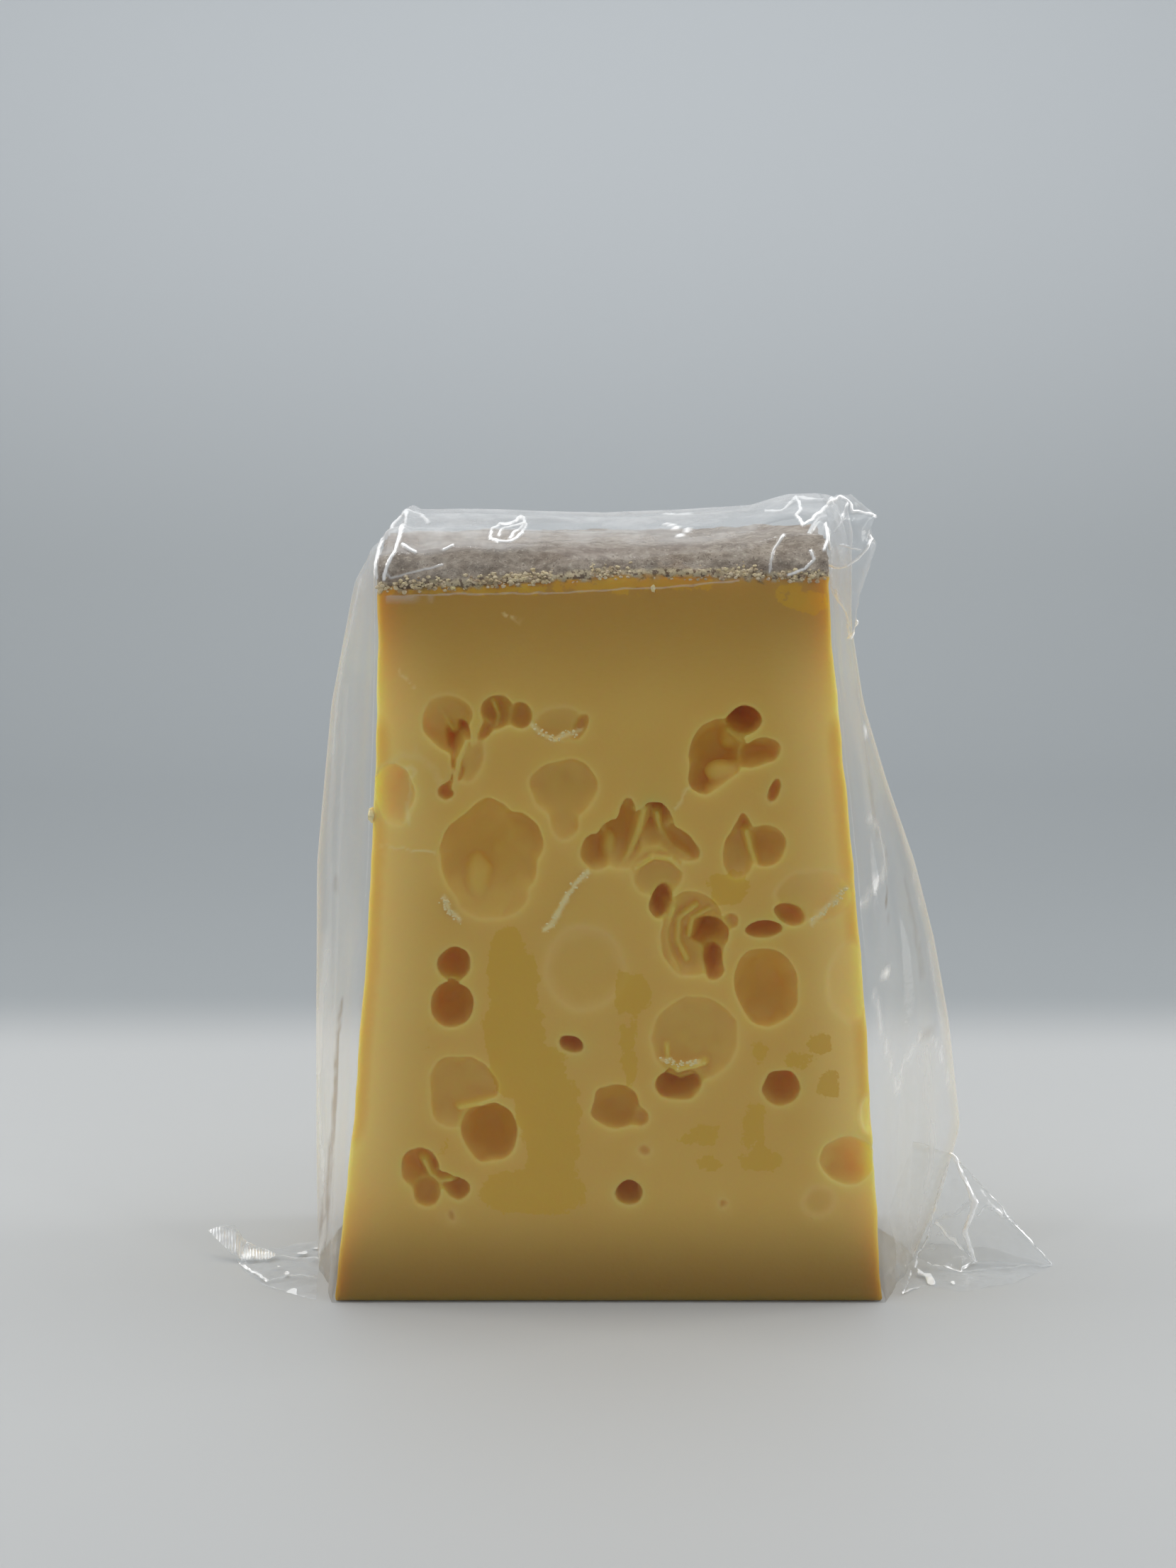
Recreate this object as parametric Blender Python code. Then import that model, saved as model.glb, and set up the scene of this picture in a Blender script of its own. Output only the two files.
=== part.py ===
"""A tall wedge of hard cheese with large eyes, standing in a loose clear bag.

The wedge stands on its widest cut face and its rind is on top. The bag lies
close on the two broad faces, so its own solid is the loose film beside the
wedge and over the rind, with a flat ear at each lower corner and a bunched
flap at the upper right one.

Lengths are in millimetres and become metres where a mesh is made. X points
right along the broad face, Y away from the face that is seen, Z up. The
origin is the middle of the base.
"""
import math
import random

import bmesh
import bpy
from mathutils import Matrix, Vector, noise

MM = 0.001

# Wedge: the broad face narrows from the base to the rind
BASE_HALF = 57.6
TOP_LEFT = 46.0
TOP_RIGHT = 43.2
FACE_HEIGHT = 151.0
DEPTH = 50.0
LEFT_BOW = 1.7
RIGHT_SWELL = 0.9
EDGE_WAVE = 0.35
EDGE_WAVE_PITCH = 16.0

# Rind: a rounded shoulder along both broad faces, then a bumpy top
RIND_TILT = 0.9
RIND_RISE = 7.0
SHOULDER = 10.0
RIND_BUMP = 0.7
RIND_BUMP_PITCH = 9.0

# Lattice of the wedge
STATIONS_ACROSS = 16
STATIONS_UP = 10
SHOULDER_STATIONS = (1.0, 3.0, 6.0, 10.0, 17.0)

# Eyes of the broad face: x, z, half width, half height, depth, tilt in degrees
FRONT_EYES = {
    "mushroom": (-32.0, 124.4, 5.0, 5.2, 4.5, 0),
    "mushroom_stem": (-30.8, 117.0, 2.3, 4.6, 9.0, -12),
    "stem_foot": (-33.2, 108.9, 1.5, 1.9, 4.0, 25),
    "upper_lobes": (-21.7, 125.6, 4.7, 4.0, 5.0, 0),
    "upper_scrape": (-10.8, 122.4, 5.4, 1.9, 1.6, -8),
    "fan_top": (26.6, 122.6, 4.4, 3.6, 12.0, 0),
    "fan": (23.8, 115.4, 5.9, 6.0, 8.0, -25),
    "fan_right": (31.2, 118.4, 3.6, 4.0, 6.0, 20),
    "fan_slit": (33.6, 110.0, 1.1, 2.2, 3.0, 20),
    "left_edge": (-47.0, 107.4, 5.2, 6.8, 4.0, 0),
    "kite": (-8.8, 109.9, 6.5, 5.4, 3.6, 0),
    "kite_tail": (-9.7, 103.4, 2.3, 3.9, 2.4, 0),
    "great": (-24.3, 96.8, 10.4, 11.2, 5.4, 8),
    "great_foot": (-22.6, 88.0, 6.2, 6.0, 3.0, 0),
    "tent": (8.6, 97.8, 8.6, 6.8, 7.0, -14),
    "tent_left": (-0.2, 96.6, 4.4, 4.2, 5.0, 10),
    "tent_spike": (4.6, 103.2, 1.7, 4.0, 4.5, 0),
    "tent_fold": (7.4, 90.6, 4.4, 5.4, 3.6, 20),
    "heart": (29.5, 96.4, 6.0, 5.4, 4.6, 0),
    "heart_spike": (28.2, 101.6, 1.8, 3.2, 3.6, 0),
    "pit": (11.3, 86.5, 2.4, 3.0, 8.0, 0),
    "cross": (17.6, 79.8, 7.4, 8.4, 5.0, 15),
    "cross_core": (20.8, 79.8, 4.6, 3.2, 10.5, 0),
    "cross_leg": (21.4, 74.2, 2.1, 3.6, 8.0, 0),
    "right_pit": (32.1, 81.2, 3.6, 1.8, 6.0, -5),
    "edge_pit": (37.8, 84.0, 3.6, 2.1, 5.0, 15),
    "edge_chip": (45.4, 86.4, 6.6, 3.3, 1.5, -20),
    "faded": (-5.1, 72.2, 8.2, 8.7, 0.9, 0),
    "tall_oval": (32.4, 68.9, 6.6, 8.4, 7.0, 8),
    "right_moon": (53.6, 69.7, 8.0, 9.5, 4.0, 0),
    "pair_upper": (-32.0, 73.2, 3.5, 3.6, 8.0, 0),
    "pair_lower": (-32.2, 64.4, 4.6, 4.8, 9.0, 0),
    "disc": (17.5, 57.4, 9.1, 8.4, 3.2, 0),
    "disc_cave": (14.2, 48.2, 5.0, 3.9, 8.5, 0),
    "drop": (-7.9, 56.4, 2.9, 1.7, 5.0, 0),
    "twin_upper": (-29.5, 46.2, 7.2, 7.3, 5.0, 12),
    "twin_lower": (-25.0, 37.5, 6.3, 6.2, 9.5, 0),
    "teardrop": (0.4, 42.6, 4.6, 4.6, 6.5, 0),
    "teardrop_tip": (4.6, 41.4, 2.9, 2.1, 3.0, -20),
    "round": (35.8, 46.7, 3.9, 3.9, 8.5, 0),
    "edge_sliver": (56.0, 41.8, 3.4, 4.6, 3.0, 0),
    "edge_round": (50.8, 31.4, 6.0, 5.6, 5.0, 0),
    "bow_upper": (-38.4, 28.8, 4.0, 4.4, 6.0, 25),
    "bow_lower": (-33.4, 25.4, 3.9, 2.8, 5.5, -8),
    "low_round": (3.7, 23.5, 2.8, 2.7, 7.5, 0),
    "low_disc": (44.4, 22.1, 3.5, 3.3, 0.8, 0),
}

# Eyes of the faces that aren't seen: how many, and the range of half widths
BACK_EYES = 19
SIDE_EYES = 4
BACK_RADII = (2.4, 8.6)
SIDE_RADII = (2.2, 5.4)
EYE_BAND = (20.0, 130.0)
EYE_CLEARANCE = 2.2
EYE_MARGIN = 3.0
SIDE_EYE_FRONT = 13.0
HIDDEN_SEED = 11
LARGE_EYE = 4.2
LARGE_FACETS = (14, 7)
SMALL_FACETS = (10, 5)

# Bag: where the film's side seams stand, as (height, distance from the middle)
LEFT_SEAM = ((0.0, 63.5), (20.0, 63.3), (55.0, 62.7), (89.0, 61.7), (123.0, 58.0),
             (148.0, 52.8), (158.0, 48.6), (163.6, 42.0))
RIGHT_SEAM = ((0.0, 67.0), (14.0, 72.5), (30.0, 76.4), (55.0, 73.0), (72.0, 69.6),
              (89.0, 65.0), (106.0, 58.8), (123.0, 53.4), (140.0, 50.4), (158.0, 49.6),
              (163.6, 41.0))
HULL_LEVELS = (0.0, 10.0, 22.0, 34.0, 46.0, 58.0, 70.0, 82.0, 94.0, 106.0, 118.0, 130.0,
               141.0, 149.0, 154.0, 158.0, 161.0, 163.6)
PILLOW_TOP = 164.4
PILLOW_FOOT = 149.0
SEAM_HALF = 0.7
SEAM_HALF_TOP = 6.0
PILLOW_BULGE = 0.85
PILLOW_STEPS = (0.0, 0.35, 0.7, 1.0)
GAP = 0.3

# Ears: distance along X, centre along Y, half width, underside, top
LEFT_EAR = ((-57.0, 0.0, 21.0, 0.0, 9.0), (-66.0, -1.0, 14.0, 0.0, 4.6),
            (-75.0, -2.0, 8.0, 0.0, 3.0), (-81.0, -1.0, 5.5, 0.8, 4.6),
            (-87.6, 1.0, 3.4, 4.6, 7.4))
RIGHT_EAR = ((57.0, 0.0, 21.0, 0.0, 36.0), (66.0, -2.0, 16.0, 0.0, 30.0),
             (74.8, -3.0, 11.0, 0.0, 24.6), (83.0, -2.0, 7.0, 0.0, 15.4),
             (91.0, -1.0, 3.8, 0.0, 7.0), (98.0, 0.0, 1.4, 0.0, 1.0))
EAR_WAIST_WIDTH = 0.5
EAR_WAIST_HEIGHT = 0.45
EAR_FOOT_WIDTH = 0.96
EAR_FOOT_HEIGHT = 0.09
EAR_RIDGE = 0.08

# Flap at the upper right corner: height, x and y of its middle, half sizes
FLAP = ((137.5, 51.6, -2.0, 0.6, 0.8), (144.0, 50.6, -2.5, 2.6, 2.2),
        (151.0, 50.0, -3.0, 4.4, 4.4), (157.0, 49.6, -3.0, 6.0, 7.0),
        (163.0, 49.0, -2.0, 6.4, 6.4), (167.4, 47.6, -1.0, 3.6, 2.4))
FLAP_SIDES = 14
FLAP_PLEATS = 4
FLAP_PLEAT_DEPTH = 0.16

CHEESE_COLOUR = (0.56, 0.40, 0.13, 1.0)
FILM_COLOUR = (0.86, 0.90, 0.92, 1.0)


def clear_scene():
    for obj in list(bpy.data.objects):
        bpy.data.objects.remove(obj, do_unlink=True)


def new_collection(name):
    collection = bpy.data.collections.new(name)
    bpy.context.scene.collection.children.link(collection)
    return collection


def principled(name, colour, roughness, alpha=1.0):
    material = bpy.data.materials.new(name)
    material.use_nodes = True
    shader = material.node_tree.nodes["Principled BSDF"]
    shader.inputs["Base Color"].default_value = colour
    shader.inputs["Roughness"].default_value = roughness
    shader.inputs["Metallic"].default_value = 0.0
    shader.inputs["Alpha"].default_value = alpha
    return material


def mesh_object(name, mesh_builder, collection):
    """An object from a bmesh in millimetres, with its faces pointing out."""
    bmesh.ops.recalc_face_normals(mesh_builder, faces=mesh_builder.faces)
    bmesh.ops.scale(mesh_builder, vec=(MM, MM, MM), verts=mesh_builder.verts)
    mesh = bpy.data.meshes.new(name)
    mesh_builder.to_mesh(mesh)
    mesh_builder.free()
    obj = bpy.data.objects.new(name, mesh)
    collection.objects.link(obj)
    return obj


def read_curve(stations, value):
    """Straight interpolation through (place, measure) stations."""
    if value <= stations[0][0]:
        return stations[0][1]
    for (low, start), (high, end) in zip(stations, stations[1:]):
        if value <= high:
            return start + (end - start) * (value - low) / (high - low)
    return stations[-1][1]


def wave(place, lane):
    """A gentle unevenness of the cut edges, the same at every call."""
    return EDGE_WAVE * noise.noise(Vector((lane, 0.0, place / EDGE_WAVE_PITCH)))


def wedge_left(z):
    share = min(max(z / FACE_HEIGHT, 0.0), 1.0)
    return -(TOP_LEFT + (BASE_HALF - TOP_LEFT) * (1.0 - share) ** LEFT_BOW) + wave(z, 3.0)


def wedge_right(z):
    share = min(max(z / FACE_HEIGHT, 0.0), 1.0)
    swell = RIGHT_SWELL * math.sin(math.pi * share) ** 2
    return BASE_HALF + (TOP_RIGHT - BASE_HALF) * share + swell + wave(z, 8.0)


def rind_height(across, inset):
    """Height of the rind at a share across the wedge and an inset from its face."""
    share = min(inset / SHOULDER, 1.0)
    rise = RIND_RISE * math.sqrt(1.0 - (1.0 - share) ** 2)
    spot = Vector((across * BASE_HALF / RIND_BUMP_PITCH, inset / RIND_BUMP_PITCH, 0.5))
    bump = RIND_BUMP * noise.noise(spot) * share
    return FACE_HEIGHT + RIND_TILT * across + rise + bump


def wedge_mesh(grow):
    """The wedge as a cube cut into a lattice, then set to its true outline."""
    builder = bmesh.new()
    bmesh.ops.create_cube(builder, size=2.0)
    half = DEPTH / 2
    inner = [1.0 - inset / half for inset in SHOULDER_STATIONS]
    cuts = {
        0: [2.0 * step / STATIONS_ACROSS - 1.0 for step in range(1, STATIONS_ACROSS)],
        1: inner + [0.0] + [-place for place in inner],
        2: [2.0 * step / STATIONS_UP - 1.0 for step in range(1, STATIONS_UP)],
    }
    for axis, places in cuts.items():
        normal = Vector([float(axis == other) for other in range(3)])
        for place in places:
            everything = builder.verts[:] + builder.edges[:] + builder.faces[:]
            bmesh.ops.bisect_plane(builder, geom=everything, plane_co=normal * place, plane_no=normal)
    for vertex in builder.verts:
        across, through, up = vertex.co
        top = rind_height(across, half * (1.0 - abs(through))) + grow
        z = -grow + (up + 1.0) / 2.0 * (top + grow)
        left = wedge_left(z) - grow
        right = wedge_right(z) + grow
        x = left + (right - left) * (across + 1.0) / 2.0
        vertex.co = (x, through * (half + grow), z)
    return builder


def eye_cutter(name, centre, radii, axis, tilt, collection):
    """An egg-shaped cutter whose poles lie along the axis it cuts in."""
    builder = bmesh.new()
    round_facets, pole_facets = LARGE_FACETS if max(radii) > LARGE_EYE else SMALL_FACETS
    bmesh.ops.create_uvsphere(
        builder, u_segments=round_facets, v_segments=pole_facets, radius=1.0)
    turn = Matrix.Rotation(math.pi / 2, 4, "X" if axis == "Y" else "Y")
    bmesh.ops.transform(builder, matrix=turn, verts=builder.verts)
    bmesh.ops.scale(builder, vec=radii, verts=builder.verts)
    bmesh.ops.rotate(builder, matrix=Matrix.Rotation(math.radians(tilt), 3, axis), verts=builder.verts)
    bmesh.ops.translate(builder, vec=centre, verts=builder.verts)
    cutter = mesh_object(name, builder, collection)
    cutter.hide_render = True
    cutter.display_type = "WIRE"
    return cutter


def front_cutters(collection):
    for name, (x, z, half_x, half_z, depth, tilt) in FRONT_EYES.items():
        eye_cutter(name, (x, -DEPTH / 2, z), (half_x, depth, half_z), "Y", tilt, collection)


def scattered(draw, count, radii, reach_of):
    """Round eyes set by seeded draws, none closer to another than the clearance."""
    placed = []
    while len(placed) < count:
        share = 1.0 - len(placed) / count
        radius = radii[0] + (radii[1] - radii[0]) * share ** 1.6
        z = draw.uniform(EYE_BAND[0] + radius, EYE_BAND[1] - radius)
        low, high = reach_of(z)
        place = draw.uniform(low + radius, high - radius)
        clear = all(
            math.hypot(place - other[0], z - other[1]) > radius + other[2] + EYE_CLEARANCE
            for other in placed)
        if clear:
            depth = radius * draw.uniform(0.6, 1.2)
            placed.append((place, z, radius, radius * draw.uniform(0.85, 1.15), depth))
    return placed


def hidden_cutters(collection):
    """Eyes of the far broad face and of the two narrow sides."""
    draw = random.Random(HIDDEN_SEED)
    back = scattered(
        draw, BACK_EYES, BACK_RADII,
        lambda z: (wedge_left(z) + EYE_MARGIN, wedge_right(z) - EYE_MARGIN))
    for index, (x, z, half_x, half_z, depth) in enumerate(back):
        eye_cutter(f"back_{index}", (x, DEPTH / 2, z), (half_x, depth, half_z), "Y", 0, collection)
    for side, edge in (("left", wedge_left), ("right", wedge_right)):
        row = scattered(
            draw, SIDE_EYES, SIDE_RADII,
            lambda z: (SIDE_EYE_FRONT - DEPTH / 2, DEPTH / 2 - EYE_MARGIN))
        for index, (y, z, half_y, half_z, depth) in enumerate(row):
            eye_cutter(
                f"{side}_{index}", (edge(z), y, z), (depth, half_y, half_z), "X", 0, collection)


def apply_boolean(obj, operation, collection):
    """One Boolean with a whole collection, applied, and the collection removed."""
    modifier = obj.modifiers.new(operation.title(), "BOOLEAN")
    modifier.operation = operation
    modifier.operand_type = "COLLECTION"
    modifier.collection = collection
    modifier.solver = "EXACT"
    graph = bpy.context.evaluated_depsgraph_get()
    mesh = bpy.data.meshes.new_from_object(obj.evaluated_get(graph))
    obj.modifiers.clear()
    obj.data = mesh
    for other in list(collection.objects):
        bpy.data.objects.remove(other, do_unlink=True)
    bpy.data.collections.remove(collection)


def make_cheese(parts):
    cheese = mesh_object("cheese", wedge_mesh(0.0), parts)
    cutters = new_collection("eye cutters")
    front_cutters(cutters)
    hidden_cutters(cutters)
    apply_boolean(cheese, "DIFFERENCE", cutters)
    cheese.data.materials.clear()
    cheese.data.materials.append(principled("cheese", CHEESE_COLOUR, 0.45))
    return cheese


def loft(rings):
    """A closed solid through rings with the same number of points."""
    builder = bmesh.new()
    rows = [[builder.verts.new(point) for point in ring] for ring in rings]
    count = len(rows[0])
    for low, high in zip(rows, rows[1:]):
        for index in range(count):
            following = (index + 1) % count
            builder.faces.new((low[index], low[following], high[following], high[index]))
    builder.faces.new(rows[0][::-1])
    builder.faces.new(rows[-1])
    return builder


def hull_ring(z):
    """A level section of the loose film: a lens from seam to seam."""
    lift = min(max((z - PILLOW_FOOT) / (PILLOW_TOP - PILLOW_FOOT), 0.0), 1.0)
    half_depth = (DEPTH / 2 + GAP / 2) * math.sqrt(1.0 - lift ** 2)
    seam_half = min(SEAM_HALF + (SEAM_HALF_TOP - SEAM_HALF) * lift, half_depth * 0.8)
    left_seam = -read_curve(LEFT_SEAM, z)
    right_seam = read_curve(RIGHT_SEAM, z)
    left_foot = wedge_left(z)
    right_foot = wedge_right(z)
    depths = [seam_half + (half_depth - seam_half) * share ** PILLOW_BULGE for share in PILLOW_STEPS]
    left = [(left_seam + (left_foot - left_seam) * share, depth)
            for share, depth in zip(PILLOW_STEPS, depths)]
    right = [(right_seam + (right_foot - right_seam) * share, depth)
             for share, depth in zip(PILLOW_STEPS, depths)]
    middle = [(left_foot + (right_foot - left_foot) * share, half_depth) for share in (1 / 3, 2 / 3)]
    front = left + middle + right[::-1]
    near = [Vector((x, -depth, z)) for x, depth in front]
    far = [Vector((x, depth, z)) for x, depth in reversed(front)]
    return near + far


def ear_ring(x, middle, half_width, under, top):
    """A tent section across the ear, with sides drawn in above its foot."""
    rise = top - under
    half = [(1.0, 0.0), (EAR_FOOT_WIDTH, EAR_FOOT_HEIGHT), (EAR_WAIST_WIDTH, EAR_WAIST_HEIGHT),
            (EAR_RIDGE, 1.0)]
    points = half + [(-across, up) for across, up in reversed(half)]
    return [Vector((x, middle + half_width * across, under + rise * up)) for across, up in points]


def flap_ring(z, centre_x, centre_y, half_x, half_y):
    """A pleated section of the bunched corner."""
    ring = []
    for step in range(FLAP_SIDES):
        angle = 2.0 * math.pi * step / FLAP_SIDES
        reach = 1.0 + FLAP_PLEAT_DEPTH * math.sin(FLAP_PLEATS * angle)
        ring.append(Vector((centre_x + half_x * reach * math.cos(angle),
                            centre_y + half_y * reach * math.sin(angle), z)))
    return ring


def make_bag(parts):
    """The loose film as one solid arch, cut free of the wedge by the gap."""
    bag = mesh_object("bag", loft([hull_ring(z) for z in HULL_LEVELS]), parts)
    additions = new_collection("bag additions")
    mesh_object("left ear", loft([ear_ring(*row) for row in LEFT_EAR]), additions)
    mesh_object("right ear", loft([ear_ring(*row) for row in RIGHT_EAR]), additions)
    mesh_object("flap", loft([flap_ring(*row) for row in FLAP]), additions)
    apply_boolean(bag, "UNION", additions)
    room = new_collection("room for the wedge")
    mesh_object("grown wedge", wedge_mesh(GAP), room)
    apply_boolean(bag, "DIFFERENCE", room)
    bag.data.materials.clear()
    bag.data.materials.append(principled("film", FILM_COLOUR, 0.12, alpha=0.35))
    return bag


def main():
    clear_scene()
    parts = new_collection("cheese wedge")
    make_cheese(parts)
    make_bag(parts)


main()
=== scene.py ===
"""Looks of the cheese wedge in its clear bag: cheese, rind, crumbs, film, stage and light.

Lengths below are in millimetres and become metres where a mesh is made. X points
right along the broad face, Y away from the face that is seen, Z up.
"""
import itertools
import math
import random

import bmesh
import bpy
import numpy as np
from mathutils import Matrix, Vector, noise


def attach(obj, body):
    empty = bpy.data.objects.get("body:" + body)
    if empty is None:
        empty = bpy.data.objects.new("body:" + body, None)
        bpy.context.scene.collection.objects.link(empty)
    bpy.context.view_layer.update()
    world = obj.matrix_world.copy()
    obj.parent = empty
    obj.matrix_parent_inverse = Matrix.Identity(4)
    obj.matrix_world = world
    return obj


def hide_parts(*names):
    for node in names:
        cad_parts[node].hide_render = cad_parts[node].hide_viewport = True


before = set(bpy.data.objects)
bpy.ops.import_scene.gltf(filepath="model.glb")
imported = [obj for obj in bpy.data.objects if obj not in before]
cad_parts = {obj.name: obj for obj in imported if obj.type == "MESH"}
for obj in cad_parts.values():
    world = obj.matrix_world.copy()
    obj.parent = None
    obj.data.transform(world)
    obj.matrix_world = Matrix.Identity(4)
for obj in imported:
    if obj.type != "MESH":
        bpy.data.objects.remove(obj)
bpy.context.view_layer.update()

MM = 0.001
CORNERS = list(itertools.product((0, 1), repeat=3))

# Camera: where it stands, its pitch below the horizon, and its lens on a 36 mm tall frame
CAMERA_PLACE = (-4.3, -525.0, 215.0)
CAMERA_PITCH = 11.75
CAMERA_LENS = 58.4
FRAME_TALL = 36.0

# Wedge, as in the part
BASE_HALF = 57.6
TOP_LEFT = 46.0
TOP_RIGHT = 43.2
FACE_HEIGHT = 151.0
DEPTH = 50.0
HALF_DEPTH = DEPTH / 2
LEFT_BOW = 1.7
RIGHT_SWELL = 0.9
EDGE_WAVE = 0.35
EDGE_WAVE_PITCH = 16.0
RIND_TILT = 0.9
RIND_RISE = 7.0
SHOULDER = 10.0
CRUST_EDGE = ((-46.0, 149.9), (-35.4, 150.3), (-24.7, 151.0), (-13.2, 151.7), (-3.2, 152.5),
              (11.0, 152.8), (25.3, 152.6), (32.4, 152.2), (46.0, 152.2))

# Eyes of the broad face: x, z, half width, half height, depth, tilt in degrees, and rise with depth
FRONT_EYES = {
    "mushroom_cap": (-32.4, 125.0, 5.1, 4.4, 4.0, 0, -0.6),
    "mushroom_core": (-30.5, 120.3, 2.6, 3.6, 9.0),
    "mushroom_low": (-33.7, 120.5, 4.0, 2.0, 4.0, 42),
    "mushroom_stem": (-30.4, 116.6, 1.3, 4.7, 5.0, 3),
    "stem_link": (-31.8, 111.1, 0.7, 1.8, 3.0, 20),
    "stem_foot": (-33.0, 109.3, 1.7, 1.5, 3.0, -35),
    "stem_flap": (-27.7, 115.5, 2.0, 4.7, 1.2, 20),
    "upper_left": (-22.5, 125.7, 3.1, 3.5, 5.0),
    "upper_right": (-17.8, 125.0, 2.4, 2.6, 4.2),
    "upper_flow": (-24.6, 122.0, 1.2, 2.6, 3.0, 35),
    "scrape": (-10.3, 123.6, 4.8, 3.2, 1.5, 0, -0.5),
    "scrape_dark": (-5.8, 122.6, 1.4, 2.8, 2.2, 28),
    "left_edge": (-43.2, 108.7, 4.0, 6.4, 3.0, 0, 0.45),
    "kite": (-9.1, 109.8, 6.9, 5.9, 3.2, 0, 0.45),
    "kite_tail": (-9.2, 104.2, 3.1, 4.9, 2.2, 0, 0.6),
    "great": (-24.3, 95.2, 10.0, 10.4, 6.0, 8, 0.7),
    "great_shoulder": (-18.6, 99.7, 5.7, 4.5, 5.4, 35, 0.45),
    "great_top": (-24.1, 102.5, 4.4, 5.4, 5.0, 0, 0.3),
    "great_foot": (-23.7, 87.8, 7.2, 5.2, 2.4, 0, 0.7),
    "tent_bulb": (-2.7, 96.7, 3.0, 3.7, 6.0, 0, 0.3),
    "tent_left": (2.6, 98.3, 4.8, 5.3, 7.0, 0, 0.7),
    "tent_spike": (3.5, 104.6, 1.4, 3.6, 5.0, 12),
    "tent_top": (8.8, 101.8, 4.1, 5.1, 7.0, 0, 0.7),
    "tent_right": (13.9, 98.3, 4.8, 2.8, 5.0, 35, 0.3),
    "tent_fold": (9.5, 92.8, 5.3, 5.0, 2.4, 10),
    "heart_left": (26.4, 97.1, 3.2, 5.9, 3.8, 8, 0.45),
    "heart_right": (31.6, 98.3, 4.1, 4.2, 5.0),
    "heart_spike": (27.2, 101.8, 1.2, 2.9, 4.0),
    "fan_hole": (26.9, 123.8, 3.6, 2.9, 12.0),
    "fan_body": (21.5, 117.3, 5.5, 7.0, 8.0, 15),
    "fan_low": (19.4, 112.4, 3.4, 3.8, 6.0),
    "fan_right": (29.5, 117.3, 4.8, 2.7, 6.0, -15),
    "fan_slit": (33.3, 109.6, 1.1, 2.6, 3.0, 20),
    "pit": (10.7, 86.4, 2.2, 3.4, 8.0, 15),
    "cross_shell": (16.9, 79.7, 6.7, 8.9, 4.5),
    "cross_core": (20.1, 79.6, 4.6, 3.1, 11.0),
    "cross_leg": (21.3, 74.1, 2.0, 4.1, 8.5),
    "cross_dimple": (24.7, 82.5, 1.6, 1.6, 2.0),
    "right_pit": (31.6, 80.9, 3.7, 1.9, 6.0, -5),
    "edge_pit": (36.8, 83.7, 3.2, 1.9, 5.0, 15),
    "edge_scoop": (41.7, 88.0, 7.9, 5.3, 1.5, 0, -0.3),
    "tall_oval": (32.2, 68.5, 6.3, 8.5, 7.0, -12),
    "right_moon": (50.0, 69.5, 5.4, 9.0, 1.3),
    "pair_upper": (-31.7, 73.2, 3.3, 3.7, 8.0, 12),
    "pair_lower": (-32.1, 64.7, 4.4, 5.0, 9.0, 15),
    "drop": (-7.9, 56.4, 2.4, 1.6, 6.0, 20),
    "twin_upper": (-29.8, 47.1, 7.2, 6.4, 3.6, 25, 0.3),
    "twin_low_left": (-32.9, 42.8, 3.7, 5.0, 3.4, -12, 0.3),
    "twin_lower": (-24.6, 37.5, 6.0, 6.4, 9.5),
    "bow_upper": (-39.1, 29.4, 3.9, 4.2, 6.0, 10),
    "bow_lower": (-38.0, 24.4, 2.9, 3.4, 5.0),
    "bow_right": (-31.5, 25.2, 2.7, 2.5, 5.0),
    "bow_neck": (-34.4, 26.9, 2.6, 1.6, 5.0, 10),
    "teardrop": (1.5, 43.0, 5.0, 4.9, 6.0),
    "teardrop_tip": (5.7, 41.1, 2.9, 2.1, 3.0, 18),
    "disc": (17.6, 57.3, 8.9, 9.0, 3.2, 0, 0.3),
    "disc_cave": (14.3, 47.8, 4.9, 3.5, 8.5, -5),
    "round": (35.7, 47.0, 3.9, 3.9, 8.5),
    "edge_sliver": (54.0, 41.1, 2.3, 4.7, 1.6),
    "edge_round": (49.5, 31.3, 5.3, 5.4, 4.8),
    "low_round": (4.2, 24.0, 2.7, 2.7, 8.0),
    "low_disc": (43.7, 22.4, 3.5, 3.5, 0.8),
    "dimple_a": (7.5, 33.4, 1.2, 1.2, 1.0),
    "dimple_b": (23.7, 21.7, 0.8, 1.0, 0.8),
    "dimple_c": (-32.8, 19.2, 0.7, 1.4, 0.8, -15),
    "faded": (-5.0, 72.4, 8.3, 9.0, 0.9),
}

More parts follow.
